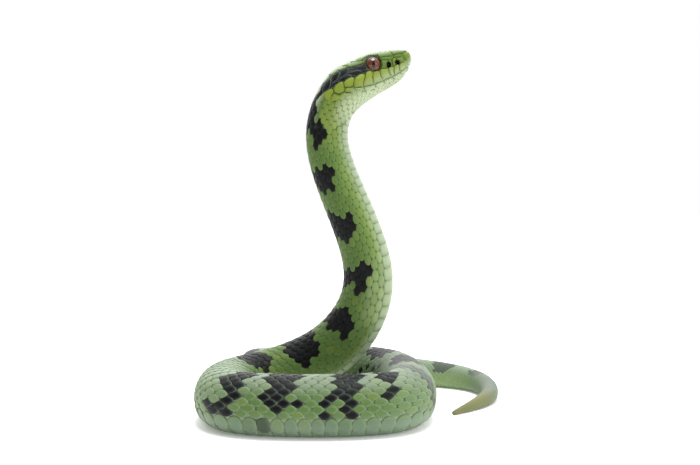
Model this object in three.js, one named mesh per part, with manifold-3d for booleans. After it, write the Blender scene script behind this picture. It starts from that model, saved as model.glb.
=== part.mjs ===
import * as THREE from 'three';
import { mergeVertices } from 'three/addons/utils/BufferGeometryUtils.js';
import Module from 'manifold-3d';

// A green pit viper, life size: coiled on the ground with the front third raised in an S.
// Millimetres, +Z up. The snout points to +X, the animal's right side faces -Y, and the
// coil lies on z = 0. One centre line runs from the snout (s = 0) to the tail tip, and every
// section stands square to it. An angle of 0 on a section is the middle of the back, 90 the
// animal's left side and 180 the middle of the belly.

// ---------------------------------------------------------------- driving dimensions
const JOIN_GAP = 0.3; // clearance between neighbouring lengths of the body
const HEAD_LENGTH = 33.5; // snout to the cut behind the jaws
const NECK_END = 144; // the raised part ends here
const TAIL_START = 497; // the vent
const NECK_LENGTHS = 3;
const TORSO_LENGTHS = 9;
const TAIL_LENGTHS = 3;

const BACK_HEIGHT = 1.02; // section reach towards the back, as a share of the girth radius
const SIDE_REACH = 0.98; // towards each side
const BELLY_REACH = 0.9; // towards the belly, which is flattened
const BACK_POWER = 2.0; // superellipse power of the upper half
const BELLY_POWER = 2.5; // and of the lower half
const REST_HEIGHT = 0.87; // centre line above the ground, as a share of the girth radius

const HEAD_PITCH = 20; // degrees that the head's axis rises towards the snout
const EYE_RADIUS = 3.3;
const EYE_BACK = 16.1; // along the head's axis
const EYE_UP = 3.0; // above the axis
const EYE_OUT = 6.7; // eyeball centre from the middle plane
const MOUTH_GAP = 0.3;

const SCALE_LENGTH = 0.55; // a scale's length along the body, as a share of the girth radius
const SHORTEST_SCALE = 4.2;
const SCALE_ROWS = 19; // rows of scales over the back, from belly plate to belly plate
const ROW_ANGLE = 17; // degrees between neighbouring rows
const BELLY_EDGE = 166; // the flat of the belly plates ends at this angle
const SCALE_RISE = 0.045; // a scale's hind edge over its base, as a share of the girth radius
const PLATE_RISE = 0.03; // the same for a belly plate
const SCALE_LEAN = 0.45; // how far its crest leans back, as a share of half its length
const CROWN_RISE = 0.2; // rise of the small scales of the head, mm

// ---------------------------------------------------------------- the centre line's guides
// Guide points of a smooth spline, which passes just inside the bends of their polygon.
const NECK_GUIDES = [ // x, y, z, girth radius
  [25, 6, 142.5, 3], [12, 6, 138, 9], [-0.5, 6, 132.6, 9.7], [-7.6, 6, 122, 9.1],
  [-9.6, 6, 108.5, 8.8], [-4.6, 6, 93.5, 9.2], [2.7, 6, 77, 9.7], [8.3, 6.5, 61, 10.1],
  [8.4, 8.5, 46.5, 10.7], [2.2, 12, 32.7, 11.3], [-10, 17, 20.3, 11.7], [-28, 17.5, 12.8, 11.6],
  [-45, 11, 10, 11.5],
];
const LOOP = { x: -13.4, y: -6, halfWidth: 37.1, frontReach: 33, rearReach: 49, power: 3 };
const LOOP_RADIUS = 11.6;
const LOOP_FIRST = 180; // degrees, the loop's left end
const LOOP_LAST = 420; // its right rear
const LOOP_STEP = 30;
const REAR_GUIDES = [ // x, y, girth radius, all on the ground
  [-5, 46, 11.3], [-24, 48, 10.6], [-38, 52, 9.9], [-45.5, 64, 9.1], [-40.5, 77, 8.7],
  [-23, 80.5, 8.3], [-1, 76, 7.7], [19, 70.5, 7], [37, 66, 6.3], [51, 59, 5.6],
  [59.5, 47.5, 4.8], [61, 32.5, 4.1], [58, 18.5, 3.3], [50, 6.5, 2.3], [41.3, -3, 1],
];
const MIDDLE = [1.844, 18.933]; // middle of the animal's box in the guides' x and y

// ---------------------------------------------------------------- the head's profiles
// Pairs of distance along the centre line and reach from it. The rounded snout overhangs the
// chin, so the first sections lie wholly above the line, where the reach of the base is less
// than nothing.
const SNOUT_TIP = 0.3; // where the snout begins
const HEAD_TOP = [[0.3, 2.7], [0.6, 3.7], [1.5, 4.9], [2.7, 5.6], [6.5, 6.9], [10.3, 7.8], [14, 8.4],
  [20.5, 8.8], [24, 9.4], [29, 10.2], [33, 9.8], [42, 9.3]];
const HEAD_BASE = [[0.3, -0.9], [0.7, 0.1], [1.5, 1.3], [3.2, 3.4], [6.9, 5.7], [10.3, 6.8], [17, 7.8],
  [24, 8.4], [30, 8.3], [37, 7.7], [42, 7.6]];
const HEAD_HALF = [[0.3, 1], [0.6, 2.4], [1.5, 4.1], [2.8, 5.1], [5, 5.9], [9, 7], [13, 8.2],
  [16, 9.2], [20, 10.6], [25, 12], [29, 12.2], [33, 11.2], [38, 9.2], [43, 8.4], [52, 8.4]];
const HEAD_WIDEST = [[0.3, 1.8], [1.5, 0.8], [3.5, -0.4], [7, -1.3], [15, -2], [28, -2], [42, 0]];
const HEAD_POWER = [[0, 2.3], [5, 2.9], [16, 2.8], [27, 2.4], [40, 2]];
const HEAD_BLEND = [42, 62]; // the head's profiles fade into the body's between these

// The mouth line: distance back along the head's own axis and height over it.
const MOUTH_LINE = [[-4, -1.9], [2.5, -2.2], [7.4, -3.8], [11.4, -4.7], [16.9, -4.9], [21.9, -4.5],
  [27.4, -3.5]];
const JAW_CUT_END = [31, -16]; // from the corner of the mouth the cut drops to the throat here

// The same line along the centre line, whose front end bends down behind the eyes.
const LIP_LINE = [[0, -1.9], [2.5, -2.2], [5, -3.1], [8.3, -4], [10.6, -4.4], [14.4, -4.7],
  [19.1, -4.8], [23.6, -4], [26.9, -2.3], [30, 0], [33.8, 2.2]];
// Lip plates: how many a side, the first one's start and length, each one's gain in length
// over the one before, how far its lip edge leans back for each mm of height, and pairs of
// distance along the centre line and reach from the lip's edge.
const UPPER_LIP = {
  count: 9, start: 3.4, first: 2.3, growth: 0.24, lean: 0.4,
  tall: [[2, 1.6], [4, 2.2], [8, 3.3], [11, 3.7], [14, 4.4], [17, 4.4], [20, 5.1], [27, 4.3], [31, 3.6]],
};
const LOWER_LIP = {
  count: 7, start: 3.6, first: 2.6, growth: 0.3, lean: 0,
  tall: [[3, -1], [8, -1.6], [18, -2.2], [24, -2.6]],
};
const LIP_GAP = 0.3; // between neighbouring lip plates
const LIP_END = 32.5; // the last ones stop here, short of the cut behind the head
const LIP_RISE = 0.35; // a lip plate's edge over the skin
const LIP_CROWN = 0.2; // and its middle over its edge
const LIP_ROOT = 0.8; // how deep it is sunk
const NOSTRIL = { back: 6.4, up: 0.5, radius: 0.95 };
const HEAT_PIT = { back: 10.1, up: 0.6, radius: 1.05 };
const EYE_RIM = { radius: 3.5, thickness: 0.5, out: 8.2 };
const BROW = { back: 16.3, up: 6.8, out: 6.5, half: [4.2, 0.7, 2.1] };
const CHEEK_TURN = 15; // degrees that the sides of the head turn out towards the jaws
const CHEEK_TILT = 12; // degrees that they lean in towards the crown at the eyes

// ---------------------------------------------------------------- colours and gloss
const GREEN_SKIN = { color: 0x5f8f45, roughness: 0.45 };
const HEAD_SKIN = { color: 0x9fb650, roughness: 0.4 };
const BROWN_SKIN = { color: 0x8a8458, roughness: 0.5 };
const AMBER_EYE = { color: 0x9a4f2a, roughness: 0.08 };

// ---------------------------------------------------------------- smooth values
// A curve through [place, value] pairs that doesn't overshoot between them.
function profile(pairs) {
  const last = pairs.length - 1;
  const rise = pairs.slice(1).map(([x, y], i) => (y - pairs[i][1]) / (x - pairs[i][0]));
  const slope = pairs.map((pair, i) => {
    if (i === 0 || i === last) return rise[Math.min(i, last - 1)];
    return rise[i - 1] * rise[i] > 0 ? (2 * rise[i - 1] * rise[i]) / (rise[i - 1] + rise[i]) : 0;
  });
  return (x) => {
    if (x <= pairs[0][0]) return pairs[0][1];
    if (x >= pairs[last][0]) return pairs[last][1];
    const i = pairs.findIndex((pair) => pair[0] > x) - 1;
    const width = pairs[i + 1][0] - pairs[i][0];
    const t = (x - pairs[i][0]) / width;
    const start = pairs[i][1] + (3 - 2 * t) * t * t * (pairs[i + 1][1] - pairs[i][1]);
    return start + t * (1 - t) * ((1 - t) * slope[i] - t * slope[i + 1]) * width;
  };
}

// Sine or cosine of a superellipse of the given power.
function rounded(value, power) {
  return Math.sign(value) * Math.abs(value) ** (2 / power);
}

// ---------------------------------------------------------------- the centre line
function guidePoints() {
  const onGround = (x, y, radius) => [x, y, radius * REST_HEIGHT, radius];
  const guides = NECK_GUIDES.map((guide) => [...guide]);
  for (let degrees = LOOP_FIRST; degrees <= LOOP_LAST; degrees += LOOP_STEP) {
    const angle = THREE.MathUtils.degToRad(degrees);
    const across = rounded(Math.cos(angle), LOOP.power);
    const along = rounded(Math.sin(angle), LOOP.power);
    const reach = along < 0 ? LOOP.frontReach : LOOP.rearReach;
    guides.push(onGround(LOOP.x + LOOP.halfWidth * across, LOOP.y + reach * along, LOOP_RADIUS));
  }
  REAR_GUIDES.forEach(([x, y, radius]) => guides.push(onGround(x, y, radius)));
  return guides.map(([x, y, z, radius]) => [x - MIDDLE[0], y - MIDDLE[1], z, radius]);
}

// The four weights of a uniform cubic B-spline at t, from 0 to 1 between two guides.
const splineWeights = (t) => [
  (1 - t) ** 3 / 6,
  (3 * t ** 3 - 6 * t * t + 4) / 6,
  (-3 * t ** 3 + 3 * t * t + 3 * t + 1) / 6,
  t ** 3 / 6,
];

// Points of the spline, each as x, y, z, radius and distance from the snout.
const STEPS_PER_GUIDE = 24;
function centreLine() {
  const guides = guidePoints();
  const beyond = (a, b) => a.map((value, k) => 2 * value - b[k]);
  const last = guides.length - 1;
  const padded = [beyond(guides[0], guides[1]), ...guides, beyond(guides[last], guides[last - 1])];
  const points = [];
  for (let i = 0; i < padded.length - 3; i += 1) {
    const end = i === padded.length - 4 ? 0 : 1;
    for (let step = 0; step <= STEPS_PER_GUIDE - end; step += 1) {
      const weights = splineWeights(step / STEPS_PER_GUIDE);
      points.push([0, 1, 2, 3].map((k) => weights.reduce((sum, w, j) => sum + w * padded[i + j][k], 0)));
    }
  }
  let distance = 0;
  points.forEach((point, i) => {
    if (i > 0) distance += Math.hypot(...[0, 1, 2].map((k) => point[k] - points[i - 1][k]));
    point.push(distance);
  });
  return points;
}
const LINE = centreLine();
const TOTAL_LENGTH = LINE[LINE.length - 1][4];

// Value k of the centre line at distance s: 0 to 2 are x, y and z, and 3 is the radius.
function lineValue(s, k) {
  let i = LINE.findIndex((point) => point[4] >= s);
  if (i < 0) i = LINE.length - 1;
  i = Math.max(i, 1);
  const t = (s - LINE[i - 1][4]) / (LINE[i][4] - LINE[i - 1][4]);
  return LINE[i - 1][k] + t * (LINE[i][k] - LINE[i - 1][k]);
}
const linePoint = (s) => new THREE.Vector3(lineValue(s, 0), lineValue(s, 1), lineValue(s, 2));
const girth = (s) => lineValue(s, 3);

// Where the back points: up and behind on the raised neck, straight up on the ground.
const NECK_BACK = new THREE.Vector3(-0.8, 0, 0.6);
const GROUND_BACK = new THREE.Vector3(0, 0, 1);
const BACK_TURN = [165, 215]; // the body rolls from one to the other between these
const TANGENT_STEP = 1.5;
function frameAt(s) {
  const before = linePoint(Math.max(s - TANGENT_STEP, 0));
  const after = linePoint(Math.min(s + TANGENT_STEP, TOTAL_LENGTH));
  const tailward = after.sub(before).normalize();
  const turn = THREE.MathUtils.smoothstep(s, ...BACK_TURN);
  const back = NECK_BACK.clone().lerp(GROUND_BACK, turn);
  back.addScaledVector(tailward, -back.dot(tailward)).normalize();
  return { centre: linePoint(s), tailward, back, left: tailward.clone().cross(back) };
}

// ---------------------------------------------------------------- the skin
const headTop = profile(HEAD_TOP);
const headBase = profile(HEAD_BASE);
const headHalf = profile(HEAD_HALF);
const headWidest = profile(HEAD_WIDEST);
const headPower = profile(HEAD_POWER);

function sectionAt(s) {
  const radius = girth(s);
  const body = THREE.MathUtils.smoothstep(s, ...HEAD_BLEND);
  const mix = (head, trunk) => THREE.MathUtils.lerp(head, trunk, body);
  return {
    top: mix(headTop(s), radius * BACK_HEIGHT),
    base: mix(headBase(s), radius * BELLY_REACH),
    half: mix(headHalf(s), radius * SIDE_REACH),
    widest: mix(headWidest(s), 0),
    backPower: mix(headPower(s), BACK_POWER),
    bellyPower: BELLY_POWER,
  };
}

// The point of the skin at distance s and an angle in degrees, raised by lift.
const GROUND_START = 160; // the belly is flat on the ground past this
function skinPoint(s, degrees, lift = 0, frame = frameAt(s), section = sectionAt(s)) {
  const angle = THREE.MathUtils.degToRad(degrees);
  const upper = Math.cos(angle) > 0;
  const power = upper ? section.backPower : section.bellyPower;
  const reach = upper ? section.top - section.widest : section.base + section.widest;
  const out = section.half * rounded(Math.sin(angle), power) + lift * Math.sin(angle);
  const up = section.widest + reach * rounded(Math.cos(angle), power) + lift * Math.cos(angle);
  const point = frame.centre.clone().addScaledVector(frame.left, out).addScaledVector(frame.back, up);
  if (s > GROUND_START) point.z = Math.max(point.z, 0);
  return point;
}

// The point of the skin's side (1 is left, -1 right) at distance s and a height over the axis.
function sidePoint(s, height, side, lift = 0) {
  const section = sectionAt(s);
  const upper = height > section.widest;
  const reach = upper ? section.top - section.widest : section.base + section.widest;
  const share = THREE.MathUtils.clamp((height - section.widest) / reach, -1, 1);
  const power = upper ? section.backPower : section.bellyPower;
  const angle = Math.acos(Math.sign(share) * Math.abs(share) ** (power / 2));
  return skinPoint(s, side * THREE.MathUtils.radToDeg(angle), lift);
}

// A mesh from its points and the three corners of each triangle.
function meshOf(points, index) {
  const geometry = new THREE.BufferGeometry();
  const positions = points.flatMap((point) => [point.x, point.y, point.z]);
  geometry.setAttribute('position', new THREE.Float32BufferAttribute(positions, 3));
  geometry.setIndex(index);
  return geometry;
}

// A closed body through rings of points, all with as many points, capped at both ends.
// Each square between two rings is cut on the diagonal that rises(i, j) leaves at its foot.
function loft(rings, rises = () => false) {
  const count = rings[0].length;
  const points = rings.flat();
  const index = [];
  for (let i = 0; i < rings.length - 1; i += 1) {
    for (let j = 0; j < count; j += 1) {
      const a = i * count + j;
      const b = i * count + ((j + 1) % count);
      if (rises(i, j)) index.push(a, b, a + count, b, b + count, a + count);
      else index.push(a, b, b + count, a, b + count, a + count);
    }
  }
  [0, rings.length - 1].forEach((row) => {
    const hub = rings[row].reduce((sum, point) => sum.add(point), new THREE.Vector3());
    const hubIndex = points.length;
    points.push(hub.divideScalar(count));
    for (let j = 0; j < count; j += 1) {
      const pair = [row * count + j, row * count + ((j + 1) % count)];
      if (row === 0) pair.reverse();
      index.push(hubIndex, ...pair);
    }
  });
  return meshOf(points, index);
}

// ---------------------------------------------------------------- joins and cuts
const wasm = await Module();
wasm.setup();

function toSolid(geometry) {
  const bare = geometry.clone();
  bare.deleteAttribute('normal');
  bare.deleteAttribute('uv');
  const merged = mergeVertices(bare, 1e-5);
  return new wasm.Manifold(new wasm.Mesh({
    numProp: 3,
    vertProperties: new Float32Array(merged.attributes.position.array),
    triVerts: new Uint32Array(merged.index.array),
  }));
}

function toGeometry(solid) {
  const { vertProperties, triVerts } = solid.getMesh();
  const geometry = new THREE.BufferGeometry();
  geometry.setAttribute('position', new THREE.Float32BufferAttribute(vertProperties, 3));
  geometry.setIndex([...triVerts]);
  return geometry;
}

const byVolume = (solid) => solid.decompose().sort((a, b) => b.volume() - a.volume());

// ---------------------------------------------------------------- the animal
const viper = new THREE.Group();

function addMesh(name, geometry, finish) {
  geometry.computeVertexNormals();
  const mesh = new THREE.Mesh(geometry, new THREE.MeshStandardMaterial({ ...finish, metalness: 0 }));
  mesh.name = name;
  viper.add(mesh);
}

// ---------------------------------------------------------------- neck, torso and tail
// Two rings carry a scale: every second corner is lifted and leans back, which leaves rows of
// overlapping diamonds. Across the belly a whole ring is lifted, which makes the wide plates.
const firstRow = -(ROW_ANGLE * (SCALE_ROWS - 1)) / 2;
const rowAngles = Array.from({ length: SCALE_ROWS }, (unused, row) => firstRow + row * ROW_ANGLE);
const BODY_ANGLES = [180, -BELLY_EDGE, ...rowAngles, BELLY_EDGE];
const isBelly = (column) => Math.abs(BODY_ANGLES[column % BODY_ANGLES.length]) >= BELLY_EDGE;
const isCrest = (ring, column) => (isBelly(column) ? ring % 2 === 0 : (ring + column) % 2 === 0);

// Distances of the rings from the cut behind the head to the tail tip.
function ringPlaces() {
  const places = [HEAD_LENGTH];
  const step = (s) => Math.max(SCALE_LENGTH * girth(s), SHORTEST_SCALE) / 2;
  for (let s = HEAD_LENGTH + step(HEAD_LENGTH); s < TOTAL_LENGTH - SHORTEST_SCALE / 4; s += step(s)) {
    places.push(s);
  }
  return [...places, TOTAL_LENGTH];
}
const PLACES = ringPlaces();
function nearestPlace(s) {
  const distances = PLACES.map((place) => Math.abs(place - s));
  return distances.indexOf(Math.min(...distances));
}

function addLength(name, from, to, finish) {
  const rings = [];
  for (let ring = from; ring <= to; ring += 1) {
    let s = PLACES[ring];
    if (ring === from) s += JOIN_GAP / 2;
    if (ring === to && to < PLACES.length - 1) s -= JOIN_GAP / 2;
    const plain = ring === from || ring === to;
    rings.push(BODY_ANGLES.map((degrees, column) => {
      if (plain || !isCrest(ring, column)) return skinPoint(s, degrees);
      const lean = SCALE_LEAN * (PLACES[ring + 1] - s);
      return skinPoint(s + lean, degrees, girth(s) * (isBelly(column) ? PLATE_RISE : SCALE_RISE));
    }));
  }
  addMesh(name, loft(rings, (i, column) => isCrest(from + i, column)), finish);
}

function addStretch(name, start, end, lengths, finish, lastFinish = finish) {
  for (let i = 0; i < lengths; i += 1) {
    const from = nearestPlace(start + ((end - start) * i) / lengths);
    const to = nearestPlace(start + ((end - start) * (i + 1)) / lengths);
    addLength(`${name}_${i + 1}`, from, to, i === lengths - 1 ? lastFinish : finish);
  }
}
addStretch('neck', HEAD_LENGTH, NECK_END, NECK_LENGTHS, GREEN_SKIN);
addStretch('torso', NECK_END, TAIL_START, TORSO_LENGTHS, GREEN_SKIN);
addStretch('tail', TAIL_START, TOTAL_LENGTH, TAIL_LENGTHS, GREEN_SKIN, BROWN_SKIN);

// ---------------------------------------------------------------- the head
// The head's own axes: back from the snout, up, and out to the left.
const pitch = THREE.MathUtils.degToRad(HEAD_PITCH);
const HEAD_BACK = new THREE.Vector3(-Math.cos(pitch), 0, -Math.sin(pitch));
const HEAD_UP = new THREE.Vector3(-Math.sin(pitch), 0, Math.cos(pitch));
const HEAD_LEFT = new THREE.Vector3(0, 1, 0);
const headMatrix = new THREE.Matrix4().makeBasis(HEAD_BACK, HEAD_UP, HEAD_LEFT);
headMatrix.setPosition(linePoint(0));

const sides = [1, -1]; // left and right
const HEAD_SIDES = 32;
const SNOUT_RINGS = [SNOUT_TIP, 0.45, 0.9, 1.8, 3, 4.4];
const HEAD_RING_STEP = 1.8;
const CROWN_FADE = [5, 16]; // the head's scales fade out towards the snout between these
const CROWN_ANGLE = 95; // and cover its top and sides down to this angle

function headRings() {
  const places = [...SNOUT_RINGS];
  const firstEven = SNOUT_RINGS[SNOUT_RINGS.length - 1] + HEAD_RING_STEP;
  for (let s = firstEven; s < HEAD_LENGTH - HEAD_RING_STEP / 2; s += HEAD_RING_STEP) places.push(s);
  return [...places, HEAD_LENGTH - JOIN_GAP / 2];
}

function headLoft() {
  const places = headRings();
  const isLifted = (ring, side) => (ring + side) % 2 === 0;
  const rings = places.map((s, ring) => Array.from({ length: HEAD_SIDES }, (unused, side) => {
    const degrees = (side * 360) / HEAD_SIDES;
    const onCrown = Math.min(degrees, 360 - degrees) < CROWN_ANGLE && ring < places.length - 1;
    if (!onCrown || !isLifted(ring, side)) return skinPoint(s, degrees);
    return skinPoint(s, degrees, CROWN_RISE * THREE.MathUtils.smoothstep(s, ...CROWN_FADE));
  }));
  return loft(rings, isLifted);
}

// Places a shape at a point of the head's axes, leaning as the head's side does there.
function onCheek(shape, back, up, out, side) {
  shape.rotateX(-side * THREE.MathUtils.degToRad(CHEEK_TILT));
  shape.rotateY(-side * THREE.MathUtils.degToRad(CHEEK_TURN));
  shape.translate(back, up, side * out);
  return shape.applyMatrix4(headMatrix);
}

function ball(half, columns, rows) {
  const shape = new THREE.SphereGeometry(1, columns, rows);
  return shape.rotateX(Math.PI / 2).scale(...half);
}

function eyeball(radius, side) {
  return onCheek(ball([radius, radius, radius], 18, 12), EYE_BACK, EYE_UP, EYE_OUT, side);
}

function brow(side) {
  return onCheek(ball(BROW.half, 12, 8), BROW.back, BROW.up, BROW.out, side);
}

// The raised rim of small scales round an eye.
function eyeRim(side) {
  const rim = new THREE.TorusGeometry(EYE_RIM.radius, EYE_RIM.thickness, 5, 18);
  return onCheek(rim, EYE_BACK, EYE_UP, EYE_RIM.out, side);
}

// A hole in the side of the snout, centred on the skin.
function snoutHole({ back, up, radius }, side) {
  const centre = sidePoint(back, up, side);
  const hole = new THREE.SphereGeometry(radius, 8, 6);
  return hole.translate(centre.x, centre.y, centre.z);
}

const lipLine = profile(LIP_LINE);

// One lip plate between two places along the lip, from the lip's edge to its full height.
function lipPlate(start, end, tall, lean, side) {
  const low = Math.sign(tall) * (MOUTH_GAP / 2 + LIP_GAP / 2);
  const outline = [[0, 0], [1, 0], [1, 0.75], [0.75, 1], [0.3, 1], [0, 0.8]];
  const place = ([along, up]) => {
    const s = THREE.MathUtils.lerp(start, end, along) + lean * Math.abs(tall) * (1 - up);
    return [s, lipLine(s) + low + (tall - low) * up];
  };
  const edge = outline.map(place);
  const middle = place([0.5, 0.5]);
  const turned = side * tall > 0 ? [...edge].reverse() : edge;
  const count = edge.length;
  const points = [
    ...turned.map(([s, height]) => sidePoint(s, height, side, LIP_RISE)),
    ...turned.map(([s, height]) => sidePoint(s, height, side, -LIP_ROOT)),
    sidePoint(...middle, side, LIP_RISE + LIP_CROWN),
    sidePoint(...middle, side, -LIP_ROOT),
  ];
  const index = [];
  for (let j = 0; j < count; j += 1) {
    const next = (j + 1) % count;
    index.push(2 * count, next, j, 2 * count + 1, count + j, count + next);
    index.push(j, next, count + j, next, count + next, count + j);
  }
  return meshOf(points, index);
}

function lipPlates({ count, start, first, growth, lean, tall }) {
  const height = profile(tall);
  const plates = [];
  let s = start;
  for (let k = 0; k < count; k += 1) {
    const length = first + k * growth;
    const reach = height(s + length / 2);
    const end = Math.min(s + length - LIP_GAP, LIP_END - lean * Math.abs(reach));
    plates.push(...sides.map((side) => lipPlate(s, end, reach, lean, side)));
    s += length;
  }
  return plates;
}

// The cut between the lips: a thin band along the mouth line, right across the head.
function mouthBand() {
  const line = [...MOUTH_LINE, JAW_CUT_END].map(([x, y]) => new THREE.Vector2(x, y));
  const shifted = (offset) => line.map((point, i) => {
    const ahead = line[Math.min(i + 1, line.length - 1)].clone().sub(line[Math.max(i - 1, 0)]).normalize();
    return point.clone().add(new THREE.Vector2(-ahead.y, ahead.x).multiplyScalar(offset));
  });
  const outline = [...shifted(MOUTH_GAP / 2), ...shifted(-MOUTH_GAP / 2).reverse()];
  const bandWidth = 40;
  const band = new THREE.ExtrudeGeometry(new THREE.Shape(outline), { depth: bandWidth, bevelEnabled: false });
  band.translate(0, 0, -bandWidth / 2);
  return band.applyMatrix4(headMatrix);
}

const raised = [
  ...lipPlates(UPPER_LIP),
  ...lipPlates(LOWER_LIP),
  ...sides.map(eyeRim),
  ...sides.map(brow),
];
const hollows = [
  ...sides.map((side) => eyeball(EYE_RADIUS + JOIN_GAP, side)),
  ...sides.map((side) => snoutHole(NOSTRIL, side)),
  ...sides.map((side) => snoutHole(HEAT_PIT, side)),
  mouthBand(),
];
const whole = raised.map(toSolid).reduce((solid, piece) => solid.add(piece), toSolid(headLoft()));
const [skull, jaw] = byVolume(hollows.map(toSolid).reduce((solid, piece) => solid.subtract(piece), whole));
addMesh('head', toGeometry(skull), HEAD_SKIN);
addMesh('lower_jaw', toGeometry(jaw), HEAD_SKIN);
addMesh('eye_left', eyeball(EYE_RADIUS, 1), AMBER_EYE);
addMesh('eye_right', eyeball(EYE_RADIUS, -1), AMBER_EYE);

export default viper;
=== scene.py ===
# %% [markdown]
# # A green pit viper, coiled with its head raised
# A snake is one long tube whose girth changes along it, wrapped in rows of overlapping
# scales. So the model starts from a centre line, grows one skin round it, and then lays
# every scale on that skin. The dark bands follow the scales: a scale is either dark or green.

# %% Load the solids
import math
import bpy
import numpy as np
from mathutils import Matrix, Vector
from mathutils.kdtree import KDTree


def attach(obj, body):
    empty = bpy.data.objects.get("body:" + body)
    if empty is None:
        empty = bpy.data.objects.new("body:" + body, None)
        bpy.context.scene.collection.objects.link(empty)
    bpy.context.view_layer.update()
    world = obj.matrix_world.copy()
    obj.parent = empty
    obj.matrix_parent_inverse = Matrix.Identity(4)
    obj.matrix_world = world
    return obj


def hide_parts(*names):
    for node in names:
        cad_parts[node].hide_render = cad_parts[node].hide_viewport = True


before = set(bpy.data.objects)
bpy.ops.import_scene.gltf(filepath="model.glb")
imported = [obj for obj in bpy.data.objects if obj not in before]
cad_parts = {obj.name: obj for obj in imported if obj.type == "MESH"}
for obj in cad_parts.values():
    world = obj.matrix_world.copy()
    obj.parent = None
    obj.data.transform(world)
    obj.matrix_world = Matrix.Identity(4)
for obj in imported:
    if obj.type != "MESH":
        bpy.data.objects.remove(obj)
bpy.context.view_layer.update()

FLESH = [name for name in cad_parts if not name.startswith("eye")]

# %% [markdown]
# ## The centre line
# A snake's spine bends smoothly, with no corner anywhere. A cubic B-spline through a few
# guide points gives that, and it carries the girth with it. Points are in millimetres here,
# and they turn into metres when a mesh is made. The same guides shape the solids.

# %% Guide points
MM = 0.001
NECK_GUIDES = [  # x, y, z, girth radius
    (25, 6, 142.5, 3), (12, 6, 138, 9), (-0.5, 6, 132.6, 9.7), (-7.6, 6, 122, 9.1),
    (-9.6, 6, 108.5, 8.8), (-4.6, 6, 93.5, 9.2), (2.7, 6, 77, 9.7), (8.3, 6.5, 61, 10.1),
    (8.4, 8.5, 46.5, 10.7), (2.2, 12, 32.7, 11.3), (-10, 17, 20.3, 11.7), (-28, 17.5, 12.8, 11.6),
    (-45, 11, 10, 11.5)]
LOOP = {"x": -13.4, "y": -6, "half_width": 37.1, "front": 33, "rear": 49, "power": 3}
LOOP_RADIUS = 11.6
REAR_GUIDES = [  # x, y, girth radius, all on the ground
    (-5, 46, 11.3), (-24, 48, 10.6), (-38, 52, 9.9), (-45.5, 64, 9.1), (-40.5, 77, 8.7),
    (-23, 80.5, 8.3), (-1, 76, 7.7), (19, 70.5, 7), (37, 66, 6.3), (51, 59, 5.6),
    (59.5, 47.5, 4.8), (61, 32.5, 4.1), (58, 18.5, 3.3), (50, 6.5, 2.3), (41.3, -3, 1)]
MIDDLE = (1.844, 18.933)  # middle of the animal seen from above, which becomes the origin
REST_HEIGHT = 0.87  # centre line above the ground, as a share of the girth radius
LOOP_STEP = 30  # degrees from one guide of the loop to the next
print(len(NECK_GUIDES), "guides up the neck and", len(REAR_GUIDES), "behind the loop")


# %% Two curves that come back often
def rounded(value, power):
    """Sine or cosine of a superellipse of the given power."""
    return np.sign(value) * np.abs(value) ** (2 / power)


def smoothstep(x, start, end):
    """0 before start, 1 after end, and smooth between."""
    t = np.clip((x - start) / (end - start), 0, 1)
    return t * t * (3 - 2 * t)


print("half way is", smoothstep(0.5, 0, 1))


# %% The spline
def guide_points():
    """The neck's guides, the loop's, which stand on a superellipse, and those of the rear."""
    rows = list(NECK_GUIDES)
    for degrees in range(180, 421, LOOP_STEP):
        angle = math.radians(degrees)
        along = rounded(math.sin(angle), LOOP["power"])
        reach = LOOP["front"] if along < 0 else LOOP["rear"]
        x = LOOP["x"] + LOOP["half_width"] * rounded(math.cos(angle), LOOP["power"])
        rows.append((x, LOOP["y"] + reach * along, LOOP_RADIUS * REST_HEIGHT, LOOP_RADIUS))
    rows += [(x, y, radius * REST_HEIGHT, radius) for x, y, radius in REAR_GUIDES]
    return np.array(rows) - (*MIDDLE, 0, 0)


def spline_through(guides, steps=24):
    """Rows of x, y, z, girth radius and distance from the snout."""
    padded = np.vstack([2 * guides[0] - guides[1], guides, 2 * guides[-1] - guides[-2]])
    t = np.arange(steps) / steps
    middle_weights = [3 * t ** 3 - 6 * t * t + 4, -3 * t ** 3 + 3 * t * t + 3 * t + 1]
    weights = np.stack([(1 - t) ** 3, *middle_weights, t ** 3], 1) / 6
    rows = np.vstack([weights @ padded[i:i + 4] for i in range(len(padded) - 3)] + [guides[-1:]])
    gaps = np.linalg.norm(np.diff(rows[:, :3], axis=0), axis=1)
    return np.column_stack([rows, np.concatenate([[0], np.cumsum(gaps)])])


LINE = spline_through(guide_points())
LENGTH = LINE[-1, 4]
print("snout to tail tip:", round(LENGTH, 1), "mm in", len(LINE), "points")

# %% [markdown]
# ## The sections
# Each section stands square to the centre line. On the trunk it is a slightly flattened
# circle, and on the head it changes fast, so short tables give its reach to the crown, the
# chin and the sides. A curve that never overshoots joins the values of a table.

# %% Tables of the head
# Pairs of the distance from the snout and the reach there, in millimetres. HEAD_WIDEST gives the
# height of the widest place instead, and HEAD_POWER how boxy the upper half is.
HEAD_TOP = [(0.3, 2.6), (0.6, 3.4), (1.5, 4.5), (2.7, 5.1), (6.5, 6.3), (10.3, 7.2), (14, 7.8),
            (20.5, 8.2), (24, 8.8), (29, 9.6), (33, 9.4), (42, 9.2)]
HEAD_BASE = [(0.3, -0.9), (0.7, 0.1), (1.5, 1.3), (3.2, 3.4), (6.9, 5.7), (10.3, 6.8), (17, 7.8),
             (24, 8.4), (30, 8.3), (37, 7.7), (42, 7.6)]
HEAD_HALF = [(0.3, 1), (0.6, 2.4), (1.5, 4.1), (2.8, 5.1), (5, 5.9), (9, 7), (13, 8.2), (16, 9.2),
             (20, 10.6), (25, 12), (29, 12.2), (33, 11.2), (38, 9.2), (43, 8.4), (52, 8.4)]
HEAD_WIDEST = [(0.3, 1.8), (1.5, 0.8), (3.5, -0.4), (7, -1.3), (15, -2), (28, -2), (42, 0)]
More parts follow.
